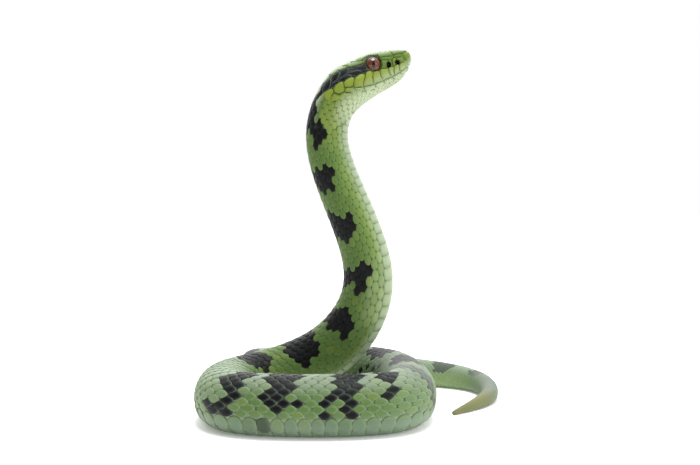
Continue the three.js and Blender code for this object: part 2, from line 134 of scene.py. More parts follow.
HEAD_POWER = [(0, 2.3), (5, 2.9), (16, 2.8), (27, 2.4), (40, 2)]
BODY_START = (42, 62)  # the head's sections turn into the trunk's between these distances
LOWER_POWER = 2.5  # how boxy the lower half of a section is: 2 is an ellipse
print("head measured at", len(HEAD_HALF), "distances")


# %% A section anywhere
def profile(pairs):
    """A curve through (place, value) pairs that doesn't overshoot between them."""
    xs, ys = np.array(pairs, float).T
    rise = np.diff(ys) / np.diff(xs)
    slope = np.array([rise[0], *rise[1:], rise[-1]])
    product, total = rise[:-1] * rise[1:], rise[:-1] + rise[1:]
    slope[1:-1] = np.where(product > 0, 2 * product / np.where(product > 0, total, 1), 0)

    def at(x):
        x = np.clip(np.asarray(x, float), xs[0], xs[-1])
        i = np.clip(np.searchsorted(xs, x, side="right") - 1, 0, len(xs) - 2)
        width = xs[i + 1] - xs[i]
        t = (x - xs[i]) / width
        eased = ys[i] + (3 - 2 * t) * t * t * (ys[i + 1] - ys[i])
        return eased + t * (1 - t) * ((1 - t) * slope[i] - t * slope[i + 1]) * width
    return at


head_top, head_base, head_half = profile(HEAD_TOP), profile(HEAD_BASE), profile(HEAD_HALF)
head_widest, head_power = profile(HEAD_WIDEST), profile(HEAD_POWER)


def girth(s):
    """Girth radius at a distance from the snout."""
    return np.interp(s, LINE[:, 4], LINE[:, 3])


def section(s):
    """Reach to the back, belly and side, the height of the widest place, and the upper half's power."""
    radius, body = girth(s), smoothstep(s, *BODY_START)
    head = [head_top(s), head_base(s), head_half(s), head_widest(s), head_power(s)]
    trunk = [radius * 1.02, radius * 0.9, radius * 0.98, 0 * radius, 2.0 + 0 * radius]
    return [h + (t - h) * body for h, t in zip(head, trunk)]


print("head is", round(2 * float(head_half(28)), 1), "mm across the jaws")

# %% [markdown]
# ## Places on the skin
# A place on the skin has two numbers: the distance from the snout, and how far round the
# body it is, from 0 in the middle of the back to 1 in the middle of the belly, with the
# animal's right side negative. Going round by length, not by angle, keeps scales the same
# width all round, also where the head is boxy.

# %% From a place to a point
NECK_BACK, GROUND_BACK = np.array([-0.8, 0, 0.6]), np.array([0, 0, 1.0])  # which way the back faces
BACK_TURN = (165, 215)  # it turns from the first to the second between these distances
GROUND_START = 160  # past this distance the animal lies on the ground


def unit(v):
    return v / np.maximum(np.linalg.norm(v, axis=-1, keepdims=True), 1e-9)


def centre_at(s):
    return np.stack([np.interp(s, LINE[:, 4], LINE[:, k]) for k in range(3)], -1)


def axes_at(s):
    """Centre, and the directions to the tail, the back and the left."""
    tailward = unit(centre_at(np.minimum(s + 1.5, LENGTH)) - centre_at(np.maximum(s - 1.5, 0)))
    back = NECK_BACK + (GROUND_BACK - NECK_BACK) * smoothstep(s, *BACK_TURN)[..., None]
    back = unit(back - np.sum(back * tailward, -1, keepdims=True) * tailward)
    return centre_at(s), tailward, back, np.cross(tailward, back)


def outline(s, degrees):
    """How far out to the left and up to the back the skin lies."""
    top, base, half, widest, upper_power = section(s)
    angle = np.radians(degrees)
    upper = np.cos(angle) > 0
    power = np.where(upper, upper_power, LOWER_POWER)
    reach = np.where(upper, top - widest, base + widest)
    return half * rounded(np.sin(angle), power), widest + reach * rounded(np.cos(angle), power)


print("neck at 100 mm is", round(float(outline(np.array(100.0), 90.0)[0]) * 2, 1), "mm wide")

# %% Measure the way round
STATIONS = np.concatenate([np.arange(0, 62, 0.5), np.arange(62, LENGTH + 9, 10)])
DEGREES = np.linspace(0, 180, 361)
SHARES = np.linspace(0, 1, 181)
out, up = outline(STATIONS[:, None], DEGREES[None, :])
strides = np.hypot(np.diff(out), np.diff(up))
walked = np.concatenate([np.zeros((len(STATIONS), 1)), np.cumsum(strides, 1)], 1)
HALF_ROUND = walked[:, -1]  # half of the way round, in millimetres
TURN = np.array([np.interp(SHARES, row / row[-1], DEGREES) for row in walked])  # degrees for each share


def station_at(s):
    """Which row of the tables a distance falls on, with its fraction."""
    return np.interp(s, STATIONS, np.arange(len(STATIONS)))


def degrees_at(s, g):
    """The angle of the section at a place; past the middle of the belly it goes up the other side."""
    g = (g + 1) % 2 - 1
    row = np.clip(station_at(s), 0, len(STATIONS) - 1.001)
    column = np.clip(np.abs(g), 0, 1) * (len(SHARES) - 1)
    column = np.minimum(column, len(SHARES) - 1.001)
    i, j = row.astype(int), column.astype(int)
    a, b = row - i, column - j
    near = TURN[i, j] * (1 - b) + TURN[i, j + 1] * b
    far = TURN[i + 1, j] * (1 - b) + TURN[i + 1, j + 1] * b
    return np.sign(g) * (near * (1 - a) + far * a)


print("half of the way round the trunk:", round(float(np.interp(250, STATIONS, HALF_ROUND)), 1), "mm")


# %% Points and normals
def bare_point(s, degrees):
    """The skin's point at a distance and an angle."""
    centre, _, back, left = axes_at(s)
    out, up = outline(s, degrees)
    return centre + left * out[..., None] + back * up[..., None]


def point_and_normal(s, degrees):
    """The skin's point and its outward normal."""
    s, degrees = np.broadcast_arrays(np.asarray(s, float), np.asarray(degrees, float))
    along = bare_point(s + 0.2, degrees) - bare_point(s - 0.2, degrees)
    across = bare_point(s, degrees + 1) - bare_point(s, degrees - 1)
    normal = unit(np.cross(across, along))
    centre = centre_at(s)
    point = bare_point(s, degrees)
    return point, normal * np.sign(np.sum(normal * (point - centre), -1, keepdims=True) + 1e-9)


def on_skin(s, g, lift=0.0):
    """The point at a place, raised by lift. Past the neck nothing goes below the ground."""
    s, g, lift = np.broadcast_arrays(*(np.asarray(value, float) for value in (s, g, lift)))
    point, normal = point_and_normal(s, degrees_at(s, g))
    point = point + normal * lift[..., None]
    point[..., 2] = np.where(s > GROUND_START, np.maximum(point[..., 2], 0), point[..., 2])
    return point


def share_at(s, degrees):
    """The way round, from 0 to 1, that an angle of the section stands for."""
    row = np.clip(np.rint(station_at(s)).astype(int), 0, len(STATIONS) - 1)
    flat = [np.interp(abs(a), TURN[r], SHARES) for a, r in zip(np.ravel(degrees), np.ravel(row))]
    return np.sign(degrees) * np.reshape(flat, np.shape(degrees))


def half_round(s):
    """Half of the way round, in millimetres, at a distance from the snout."""
    return np.interp(s, STATIONS, HALF_ROUND)


def place_of(s, height, side):
    """The place on a side (1 left, -1 right) at a height over the centre line."""
    top, base, _, widest, upper_power = section(s)
    upper = height > widest
    share = np.clip((height - widest) / np.where(upper, top - widest, base + widest), -1, 1)
    angle = np.degrees(np.arccos(rounded(share, 4 / np.where(upper, upper_power, LOWER_POWER))))
    return side * share_at(s, angle)


print("a place 3 mm up the cheek is", round(float(place_of(np.array(16.1), np.array(3.0), 1)), 3), "round")

# %% [markdown]
# ## The head's own axes
# The head points a little downwards. Things that sit square in it, such as the eyes, are
# easier to place along the head's own axes: back from the snout, up, and out to a side. The
# eyes' places come first, because the scales round them have to keep clear of them.

# %% The head's axes and the eyes' places
HEAD_PITCH = math.radians(20)
HEAD_BACK = np.array([-math.cos(HEAD_PITCH), 0, -math.sin(HEAD_PITCH)])
HEAD_UP = np.array([-math.sin(HEAD_PITCH), 0, math.cos(HEAD_PITCH)])
HEAD_LEFT = np.array([0, 1.0, 0])
EYE_RADIUS, EYE_BACK, EYE_UP, EYE_OUT = 3.3, 16.1, 2.5, 6.7
SOCKET = 3.5  # radius of the ring that scales keep clear
SOCKET_DEPTH = 2.5  # how far under the eye's middle the ring still counts


def head_point(back, up, out):
    """A point given along the head's own axes."""
    return LINE[0, :3] + back * HEAD_BACK + up * HEAD_UP + out * HEAD_LEFT


def eye_axis(side):
    """Where an eye's middle is, and which way the cheek faces there."""
    s = np.array([EYE_BACK])
    place = place_of(s, np.array([EYE_UP]), side)
    normal = point_and_normal(s, degrees_at(s, place))[1][0]
    return head_point(EYE_BACK, EYE_UP, side * EYE_OUT), normal


def clear_of_eyes(points):
    """Points inside the ring of an eye are pushed out to it, so scales wrap round the eye."""
    for side in (1, -1):
        centre, out = eye_axis(side)
        offset = points - centre
        depth = offset @ out
        flat = offset - depth[:, None] * out
        reach = np.linalg.norm(flat, axis=1)
        near = (reach < SOCKET) & (depth > -SOCKET_DEPTH)
        stretch = SOCKET / np.maximum(reach, 1e-6) - 1
        points = np.where(near[:, None], points + flat * stretch[:, None], points)
    return points


print("right eye's middle:", eye_axis(-1)[0].round(2))

# %% [markdown]
# ## Where the dark bands lie
# The animal is green with ragged black crossbands, a black stripe behind each eye and a
# brown tail tip. The crossbands of neck and loop are each different, so each is drawn as an
# outline. Those of the rear follow a rule: how wide they are on the back and lower down, and
# how far down each side they reach. Skin and scales ask the same function, so they always
# agree.

# %% Outlines of the ragged bands
# Corners as distance from the snout and degrees down the side. Each outline is the same on
# both sides, and all but one go over the back.
BLOTCHES = [
    [(37, 0), (39.2, 23), (41.8, 45), (44, 52), (45.8, 69), (46.5, 80), (48, 83), (49, 90), (50.5, 89),
     (52, 71), (54.5, 57), (53, 50), (50.2, 53), (49.5, 48), (50.2, 39), (48.5, 25), (48.5, 0)],
    [(60.5, 0), (61, 30), (63, 51), (61.2, 58), (60.2, 72), (61.2, 76), (62.5, 88), (64, 87), (66, 76),
     (68, 80), (69.2, 75), (71.5, 75), (73, 67), (71.8, 59), (70.8, 55), (69.5, 36), (67.5, 20),
     (67.5, 0)],
    [(79, 0), (78.5, 34), (80, 53), (81, 64), (82.8, 78), (81, 83), (82, 95), (84.5, 91), (88.2, 95),
     (89.2, 90), (89.8, 81), (91.8, 79), (93, 70), (91.8, 61), (92.8, 48), (90, 43), (91, 20), (91, 0)],
    [(102.5, 0), (103.8, 27), (104.8, 48), (102, 63), (102, 73), (100.5, 83), (102.8, 90), (103.8, 99),
     (106.5, 97), (107.5, 88), (111.5, 86), (114, 66), (112.5, 58), (109, 57), (112.8, 33), (114.3, 20),
     (114.5, 0)],
    [(127, 0), (127.2, 28), (121, 55), (122, 66), (125.2, 71), (125.2, 79), (128.8, 92), (132, 91),
     (134.5, 78), (133.5, 65), (137.5, 51), (136.2, 35), (137, 20), (137, 0)],
    [(147, 0), (146.5, 31), (149.5, 43), (146.5, 55), (148.5, 66), (150, 78), (154.5, 82), (158.8, 86),
     (161.8, 92), (161.5, 80), (160.2, 62), (163.2, 50), (165.8, 42), (166.5, 23), (166.5, 0)],
    [(179, 0), (178.5, 14), (176.5, 50), (174, 60), (174.2, 69), (179.5, 72), (178, 88), (182, 90),
     (185.2, 73), (190, 60), (193, 50), (193, 34), (189, 8), (189, 0)],
    [(231.5, 0), (231.5, 18), (229.2, 33), (229.8, 48), (231, 59), (233.5, 65), (231.4, 70), (230.8, 80),
     (232.2, 89), (231, 99), (232.2, 104), (234, 96), (235.4, 91), (235, 76), (236.5, 65), (236.5, 57),
     (236.6, 39), (238.5, 30), (238.5, 0)],
    [(243, 0), (243, 23), (245.8, 35), (244.8, 42), (243, 52), (245.5, 60), (243.4, 66), (246.4, 76),
     (246, 84), (249, 85), (247.6, 92), (249, 98), (251.6, 91), (252.4, 83), (255.6, 75), (252.4, 60),
     (255, 50), (254, 38), (255.4, 29), (255.4, 0)],
    [(267, 0), (267, 21), (265.5, 36), (266.2, 44), (263.2, 56), (261.8, 69), (263.8, 76), (266, 68),
     (268.2, 58), (270.2, 66), (268.6, 77), (270.2, 84), (268.6, 92), (270.5, 100), (272.6, 98),
     (272.9, 87), (275, 80), (273.6, 70), (275, 60), (276.4, 53), (275.4, 35), (277.5, 17), (277.5, 0)],
    [(281, 0), (281.2, 16), (284.2, 35), (284.8, 44), (283.2, 55), (281.4, 66), (283.4, 75), (285.8, 60),
     (287.2, 62), (288.8, 52), (287, 41), (288.8, 34), (291, 16), (291, 0)],
    [(286.9, 64), (288.4, 66), (287.4, 76), (286.2, 84), (284.6, 94), (282.4, 90), (284, 83), (285.6, 78)],
    [(299, 0), (299, 20), (300, 50), (299.6, 80), (299, 98), (303, 98), (306, 70), (307.5, 50),
     (308.5, 15), (308.5, 0)],
    [(317, 0), (317, 32), (319, 44), (325, 40), (331, 24), (336, 10), (336, 0)],
    [(344, 0), (343.5, 12), (344, 34), (350, 45), (358, 41), (362, 18), (361, 0)]]
# Green scales inside a band.
HOLES = [[(246.6, 70), (249.4, 65), (251.6, 84), (249.6, 84)],
         [(284.4, 63), (286, 63), (286, 75), (284.6, 76)]]
# Single dark scales: distance, degrees down the left (under 0: the right), radius.
SPOTS = [(228, 84, 1.9), (230.8, 90, 1.5), (242.6, 82, 1.6), (242.8, 109, 2.2), (265.2, 97, 1.6),
         (338, -53, 1.6), (344, -60, 1.6), (352, -58, 1.8), (359, -74, 1.8)]
print(len(BLOTCHES), "drawn bands,", len(HOLES), "holes and", len(SPOTS), "spots")

# %% The rear bands and the stripe
# On the back from, to; at its foot from, to; reach down the right and the left, in degrees.
BANDS = [(s, s + 11, s + 2, s + 8, 82 + 7 * (s % 3), 88 - 7 * (s % 2)) for s in range(373, 500, 22)]
BANDS += [(519, 530, 521, 526, 66, 66), (540, 547, 541, 545, 48, 48), (553, 571, 556, 568, 60, 60)]
FOOT_START = 25  # degrees down the side where a band starts to narrow
EDGE_STEP = 0.2  # millimetres that a degree stands for at a band's foot
FAR_OUTSIDE = -9.0
# The stripe behind the eye runs between these two distances, and lies between these two heights.
STRIPE_FROM, STRIPE_TO = 18.2, 42
STRIPE_TOP = profile([(17, 4.6), (20, 6.2), (22.5, 5.0), (25, 6.3), (28.5, 7.6), (31.5, 8.7), (36, 8.9),
                      (41, 9)])
LIP_TOP = profile([(0, -0.4), (2, 0.2), (4, -0.4), (8, -0.7), (11, -0.6), (14, -0.4), (17, -0.3),
                   (20, 0.6), (23, 1.1), (25.3, 1.2), (28.5, 2.5), (31.7, 4.1), (33.5, 4.9),
                   (35.5, 6.5), (38, 8), (41, 9)])
print(len(BANDS), "bands by rule")


# %% What is dark at a place
def band_cover(s, degrees):
    """Over 0 inside a band and under 0 outside, in millimetres from its edge."""
    cover = np.full(np.shape(s), FAR_OUTSIDE)
    for top_from, top_to, foot_from, foot_to, right, left in BANDS:
        reach = np.where(degrees < 0, right, left)
        down = np.clip((np.abs(degrees) - FOOT_START) / (reach - FOOT_START), 0, 1)
        start = top_from + (foot_from - top_from) * down
        end = top_to + (foot_to - top_to) * down
        edge = np.minimum(np.minimum(s - start, end - s), (reach - np.abs(degrees)) * EDGE_STEP)
        cover = np.maximum(cover, edge)
    return cover


def inside(points, ring):
    """Which points lie inside a closed outline: a line from there crosses it an odd number of times."""
    x, y = points[:, 0][:, None], points[:, 1][:, None]
    x0, y0 = np.array(ring).T
    x1, y1 = np.roll(ring, -1, 0).T
    crosses = ((y0 > y) != (y1 > y)) & (x < (x1 - x0) * (y - y0) / (y1 - y0 + 1e-12) + x0)
    return crosses.sum(1) % 2 == 1


def blotch_cover(s, degrees):
    """2 inside a drawn blotch or spot and -2 outside."""
    s, degrees = np.broadcast_arrays(s, degrees)
    spots = np.stack([s.ravel(), np.abs(degrees).ravel()], 1)
    hit = np.zeros(len(spots), bool)
    for ring in BLOTCHES:
        hit |= inside(spots, ring)
    for ring in HOLES:
        hit &= ~inside(spots, ring)
    hit = hit.reshape(s.shape)
    for place, down, radius in SPOTS:
        hit |= np.hypot(s - place, np.radians(degrees - down) * girth(s)) < radius
    return np.where(hit, 2.0, -2.0)


def stripe_cover(s, degrees):
    """Over 0 inside the stripe behind the eye."""
    up = outline(s, degrees)[1]
    cover = np.minimum(STRIPE_TOP(s) - up, up - LIP_TOP(s))
    return np.minimum(cover, np.minimum(s - STRIPE_FROM, STRIPE_TO - s))


def dark_cover(s, g):
    """Over 0 where the animal is dark."""
    degrees = degrees_at(s, g)
    bands = np.maximum(band_cover(s, degrees), blotch_cover(s, degrees))
    return np.maximum(bands, stripe_cover(s, degrees))


print("dark on the back at 40 mm:", bool(dark_cover(np.array([40.0]), np.array([0.0]))[0] > 0))

# %% [markdown]
# ## The skin
# Under the scales the skin is one soft surface from the snout to the tail tip. A grid is
# bent round the body: its rows become rings and its two long sides meet under the belly.
# The rings stand close on the head, where the shape changes fast. Each point also carries a
# few values that the finish reads later, such as its place and whether it is dark.

# %% Rings of the skin
COLUMNS = 128
SCALE_DEPTH = 0.035  # how deep the skin lies under the scales' tops, as a share of the girth radius
SHALLOWEST, DEEPEST = 0.12, 0.4
HEAD_END = 46
SNOUT_RINGS = [0.3, 0.4, 0.6, 0.9]


def skin_lift(s):
    """How far over the outline the skin lies: under 0, because scales go on top."""
    return -np.clip(girth(s) * SCALE_DEPTH, SHALLOWEST, DEEPEST) * smoothstep(s, 0.3, 3)


head_rings = np.arange(1.3, HEAD_END, 0.5)
body_rings = np.arange(HEAD_END, LENGTH - 1, 1.9)
ring_places = np.concatenate([SNOUT_RINGS, head_rings, body_rings, [LENGTH]])
print(len(ring_places), "rings")


# %% Helpers for meshes
def deselect_all():
    if bpy.context.object and bpy.context.object.mode != "OBJECT":
        bpy.ops.object.mode_set(mode="OBJECT")
    bpy.ops.object.select_all(action="DESELECT")


def set_points(mesh, points):
    """Moves the mesh's points to new places, in metres."""
    mesh.vertices.foreach_set("co", np.asarray(points, np.float32).ravel())
    mesh.update()


def add_value(mesh, name, values):
    """Stores one number for each point, under a name that a material can read."""
    store = mesh.attributes.new(name, "FLOAT", "POINT")
    store.data.foreach_set("value", np.asarray(values, np.float32).ravel())


def points_of(piece):
    return np.array([vertex.co for vertex in piece.data.vertices])


def face_outwards():
    """Turns all faces of the piece that is edited to the outside, and ends the editing."""
    bpy.ops.mesh.select_all(action="SELECT")
    bpy.ops.mesh.normals_make_consistent(inside=False)
    bpy.ops.object.mode_set(mode="OBJECT")


# %% Bend a grid round the body
deselect_all()
bpy.ops.mesh.primitive_grid_add(x_subdivisions=COLUMNS, y_subdivisions=len(ring_places) - 1, size=2)
skin = bpy.context.object
skin.name = "skin"
flat = points_of(skin)
ring = np.rint((flat[:, 1] + 1) / 2 * (len(ring_places) - 1)).astype(int)
skin_s, skin_g = ring_places[ring], flat[:, 0]
set_points(skin.data, on_skin(skin_s, skin_g, skin_lift(skin_s)) * MM)
BETWEEN_SCALES = -2.0  # a tone that marks what shows between the scales
skin_values = {"dark": smoothstep(dark_cover(skin_s, skin_g), -0.5, 0.5), "along": skin_s,
               "around": np.abs(skin_g), "tone": np.full(len(skin_s), BETWEEN_SCALES),
               "rim": np.ones(len(skin_s)), "lip": np.zeros(len(skin_s))}
for key, values in skin_values.items():
    add_value(skin.data, key, values)
print("the skin carries", ", ".join(skin_values))

# %% Close the skin under the belly and at both ends
bpy.ops.object.mode_set(mode="EDIT")
bpy.ops.mesh.select_all(action="SELECT")
bpy.ops.mesh.remove_doubles(threshold=1e-6)
bpy.ops.mesh.select_all(action="DESELECT")
bpy.ops.mesh.select_non_manifold()
bpy.ops.mesh.edge_face_add()
face_outwards()
bpy.ops.object.shade_smooth()
print("skin:", len(skin.data.polygons), "faces")

# %% [markdown]
# ## One scale
# A scale is a thin plate with a rounded outline: sunk at its front edge, a little raised at
# its hind edge, and gently domed. It is modelled once as a flat button whose rings tell how
# far a point is from its middle, and later each copy is bent onto the body.

# %% The button
RIM_INSETS = (0.14, 0.36)  # from the outline to the first inner ring, and from there to the second


def select_points(piece, chosen):
    """Selects the points for which chosen(co) holds, and leaves the piece in edit mode."""
    bpy.ops.object.mode_set(mode="EDIT")
    bpy.ops.mesh.select_mode(type="VERT")
    bpy.ops.mesh.select_all(action="DESELECT")
    bpy.ops.object.mode_set(mode="OBJECT")
    for vertex in piece.data.vertices:
        vertex.select = chosen(vertex.co)
    bpy.ops.object.mode_set(mode="EDIT")


def make_button(name, sides):
    """A disc with two inner rings and a hub, and a wall that goes down from its outline."""
    deselect_all()
    bpy.ops.mesh.primitive_circle_add(vertices=sides, radius=1, fill_type="NGON")
    piece = bpy.context.object
    piece.name = name
    bpy.ops.object.mode_set(mode="EDIT")
    bpy.ops.mesh.select_all(action="SELECT")
    for thickness in RIM_INSETS:
        bpy.ops.mesh.inset(thickness=thickness)
    bpy.ops.mesh.poke()
    bpy.ops.object.mode_set(mode="OBJECT")
    select_points(piece, lambda co: co.length > 0.99)
    bpy.ops.mesh.extrude_region_move(TRANSFORM_OT_translate={"value": (0, 0, -1)})
    face_outwards()
    return piece


def take_shape(piece):
    """The points and faces of a template, which is then removed."""
    points = points_of(piece)
    faces = [list(face.vertices) for face in piece.data.polygons]
    bpy.data.objects.remove(piece)
    return points, faces


BUTTON = take_shape(make_button("button", 12))
print("one scale:", len(BUTTON[0]), "points,", len(BUTTON[1]), "faces")

# %% [markdown]
# ## Rows of scales
# Scales stand in oblique rows: going round the body, every second one is shifted back by
# half a scale. The neck has nineteen rows of long oval scales and the trunk has twenty-one
# rows of lozenges, with the lowest row on each side larger than the others. Their length
# follows the girth, so they shrink towards the tail. The rows are worked out by a rule and
# not placed by hand, because there are thousands of scales.

# %% Places of the scales
ROW = 1 / 17  # from row to row on the trunk, as a share of the way from back to belly
TRUNK_ROWS = 9  # to each side of the middle row, without the lowest
LOW_ROW = 0.655  # where the lowest row lies
NECK_ROW = 0.075  # from row to row on the neck
NECK_ROWS = 9
NECK_END = 192
SCALE_START = 46  # where the neck's scales begin
PITCH_ON_HEAD = ([3, 12, 22, 32, 44], [1.5, 1.9, 2.9, 3.4, 3.75])  # distances, lengths of a scale
PITCH_SHARE, PITCH_DROP = 0.41, 0.04  # length of a scale against the girth radius, and less on the ground
SMALLEST_PITCH = 1.5
random = np.random.default_rng(7)


def pitch(s):
    """Length of body that one scale takes."""
    trunk = np.maximum(girth(s) * (PITCH_SHARE - PITCH_DROP * smoothstep(s, 140, 200)), SMALLEST_PITCH)
    return np.where(s < PITCH_ON_HEAD[0][-1], np.interp(s, *PITCH_ON_HEAD), trunk)


def ring_starts():
    """Distances of the rings of scales, one pitch apart."""
    places, s = [], 1.5
    while s < LENGTH - 1.2:  # the very tip has no room for a scale
        places.append(s)
        s += float(pitch(np.array(s)))
    return np.array(places)


RINGS = ring_starts()


def row_of_scales(row, g, start, end):
    """Distance and place round of each scale in one row."""
    index = np.arange(len(RINGS)) + 0.5 * (row % 2)
    s = np.interp(index, np.arange(len(RINGS)), RINGS)
    kept = (s >= start) & (s < end)
    return np.stack([s[kept], np.full(kept.sum(), g)], 1)


def rows_of_scales(rows, start, end, width=ROW):
    """The same for several rows, the middle of the back being row 0."""
    return np.vstack([row_of_scales(row, row * width, start, end) for row in rows])


print(len(RINGS), "rings of scales")

# %% A mesh from points, with what its finish reads
VALUES = ("dark", "along", "around", "tone", "rim", "lip")


def mesh_piece(name, points, faces, values, uv):
    """An object from points in millimetres, with its values and its place on the bake map."""
    mesh = bpy.data.meshes.new(name)
    mesh.from_pydata((np.asarray(points) * MM).tolist(), [], faces)
    for key in VALUES:
        add_value(mesh, key, np.broadcast_to(values[key], len(points)))
    layer = mesh.uv_layers.new(name="OFBake")
    corners = np.empty(len(mesh.loops), np.int32)
    mesh.loops.foreach_get("vertex_index", corners)
    layer.data.foreach_set("uv", np.asarray(uv, np.float32)[corners].ravel())
    mesh.polygons.foreach_set("use_smooth", np.ones(len(mesh.polygons), bool))
    piece = bpy.data.objects.new(name, mesh)
    bpy.context.collection.objects.link(piece)
    return piece


def copies_of(faces, size, count):
    """The faces of a template of so many points, repeated for each copy."""
    return [[i * size + corner for corner in face] for i in range(count) for face in faces]


print("each point carries", VALUES)

# %% Bend buttons onto the body
PATCH = 0.0016  # half the width of a scale's patch on the bake map
RIM_START = 0.7  # from the middle of a scale to where its rim starts, as a share


def lay(name, s, g, half_long, half_wide, power, dark, span):
    """One mesh with a copy of the button at each place; power says how round the copies are."""
    points, faces = BUTTON
    x, y, z = points.T
    radius = np.maximum(np.hypot(x, y), 1e-6)
    u = np.minimum(radius, 1) * rounded(x / radius, power[:, None])
    v = np.minimum(radius, 1) * rounded(y / radius, power[:, None])
    place_s = s[:, None] + half_long[:, None] * u
    place_g = g[:, None] + half_wide[:, None] * v
    placed = on_skin(place_s, place_g, scale_lifts(u, radius, z, s[:, None])).reshape(-1, 3)
    if s.min() < EYE_BACK:
        placed = clear_of_eyes(placed)
    count, size = len(s), len(points)
    hind_rim = smoothstep(radius, RIM_START, 1.0) * (0.6 + 0.4 * u[0])  # strongest at the hind edge
    values = {"dark": np.repeat(dark, size), "along": place_s.ravel(),
              "around": np.abs((place_g + 1) % 2 - 1).ravel(),
              "tone": np.repeat(random.uniform(-1, 1, count), size),
              "rim": np.tile(hind_rim, count), "lip": 0.0}
    root = np.stack([0.01 + 0.98 * (s - span[0]) / (span[1] - span[0]), g % 2 * 0.49 + 0.01], 1)
    uv = (root[:, None, :] + PATCH * np.stack([x, y], 1)[None]).reshape(-1, 2)
    return mesh_piece(name, placed, copies_of(faces, size, count), values, uv)


def scale_lifts(u, radius, z, s):
    """Sunk at the front edge, raised at the hind edge, gently domed."""
    rise = np.clip(girth(s) * 0.026, 0.1, 0.3)
    top = rise * (0.1 + 0.45 * (1 + u)) * np.where(radius > 0.95, 0.5, 1.0) + 0.3 * rise * (1 - radius ** 2)
    return np.where(z < -0.5, skin_lift(s) - 0.1, top - 0.12)


def dark_ones(s, g, waver):
    """1 for each scale whose middle is inside a band, give or take some millimetres; less low down."""
    marked = dark_cover(s, g) + random.uniform(-waver, waver, len(s)) > 0
    return marked * np.where(np.abs(g) > 0.6, 0.6, 1.0)


print("a trunk scale is", round(float(pitch(np.array(250.0))), 2), "mm from the next")


# %% The coat of neck, trunk and tail
def neck_scales(name, start, end):
    """Long oval scales."""
    s, g = rows_of_scales(range(-NECK_ROWS, NECK_ROWS + 1), start, end, NECK_ROW).T
    low = smoothstep(s, 120, 170)  # rounder and broader near the ground
    wide = NECK_ROW * (0.6 + 0.08 * low)
    dark = dark_ones(s, g, 0.5)
    return lay(name, s, g, pitch(s) * 0.54, wide, 1.95 + 0.05 * low, dark, (start, end))


def body_scales(name, start, end):
    """Lozenges, with a larger and rounder lowest row."""
    cells = rows_of_scales(range(-TRUNK_ROWS, TRUNK_ROWS + 1), start, end)
    low = [row_of_scales(TRUNK_ROWS + 1, side * LOW_ROW, start, end) for side in (-1, 1)]
    s, g = np.vstack([cells, *low]).T
    is_low = np.abs(g) > (TRUNK_ROWS + 0.5) * ROW
    long = pitch(s) * np.where(is_low, 0.53, 0.475)
    wide = ROW * np.where(is_low, 1.65, 0.77)
    dark = dark_ones(s, g, 0.9)
    return lay(name, s, g, long, wide, np.where(is_low, 2.1, 1.5), dark, (start, end))


REAR_START, TAIL_START, TIP_START, COAT_END = 330, 497, 562, LENGTH - 1.2
coat = [neck_scales("scales_neck", SCALE_START, NECK_END), body_scales("scales_coil", NECK_END, REAR_START),
        body_scales("scales_rear", REAR_START, TAIL_START), body_scales("scales_tail", TAIL_START, TIP_START),
        body_scales("scales_tail_tip", TIP_START, COAT_END)]
print("scale pieces:", [(p.name, len(p.data.polygons)) for p in coat])

# %% [markdown]
# ## Belly plates
# Under the body one wide plate stands for each ring of scales. Its hind edge overlaps the
# next. The plate is a strip with rounded ends that is sunk along its border like a scale. A
# strip is made from a small grid, because its points have to follow the belly's curve.


# %% The strip
def make_strip(name, across):
    """A grid with a wall that goes down from its border."""
    deselect_all()
    bpy.ops.mesh.primitive_grid_add(x_subdivisions=3, y_subdivisions=across, size=2)
    piece = bpy.context.object
    piece.name = name
    select_points(piece, lambda co: max(abs(co.x), abs(co.y)) > 0.99)
    bpy.ops.mesh.extrude_region_move(TRANSFORM_OT_translate={"value": (0, 0, -1)})
    bpy.ops.mesh.select_all(action="DESELECT")
    bpy.ops.object.mode_set(mode="OBJECT")
    return piece


STRIP = take_shape(make_strip("strip", 16))
print("one strip:", len(STRIP[0]), "points")

# %% The belly plates
VENTRAL_START = 36
plate_s = row_of_scales(0, 1.0, VENTRAL_START, LENGTH - 3)[:, 0]


def ventral_half(s):
    """Half the width of a belly plate, as a share of the way round."""
    return 0.1 + 0.185 * smoothstep(s, 34, 47)


def strip_lifts(s, x, y, z):
    """Height of the strip's points: the hind edge is the highest."""
    border = np.maximum(np.abs(x), np.abs(y) ** 6)
    rise = np.clip(girth(s) * 0.016, 0.05, 0.2)
    top = rise * (0.5 + 0.5 * x) - 0.12 - 0.05 * smoothstep(border, 0.7, 1)
    return np.where(z < -0.5, skin_lift(s) - 0.1, top)


def belly_plates():
    points, faces = STRIP
    x, y, z = points.T
    s, count, size = plate_s, len(plate_s), len(points)
    place_s = s[:, None] + 0.56 * pitch(s)[:, None] * x * (1 - 0.22 * np.abs(y) ** 8)
    place_g = 1 + ventral_half(s)[:, None] * y
    placed = on_skin(place_s, place_g, strip_lifts(s[:, None], x, y, z)).reshape(-1, 3)
    values = {"dark": 0.0, "along": place_s.ravel(), "around": np.abs((place_g + 1) % 2 - 1).ravel(),
              "tone": np.repeat(random.uniform(-0.3, 0.3, count), size), "lip": 0.0,
              "rim": np.tile(smoothstep(np.maximum(np.abs(x), np.abs(y) ** 4), 0.75, 1), count)}
    root = np.stack([0.01 + 0.98 * s / LENGTH, np.full(count, 0.5)], 1)
    uv = (root[:, None, :] + PATCH * np.stack([x, y], 1)[None]).reshape(-1, 2)
    return mesh_piece("belly_plates", placed, copies_of(faces, size, count), values, uv)


coat.append(belly_plates())
print("belly plates:", len(plate_s))

# %% [markdown]
# ## Charts for the head's plates
# The plates of the head are drawn flat, as a tailor draws a pattern, and then laid on the
# skin. A drawing needs a chart that hardly stretches it: the sides are drawn by distance
# from the snout and height, the crown and chin by distance from the snout and from the
# middle, and the tip of the snout as it is seen from the front.

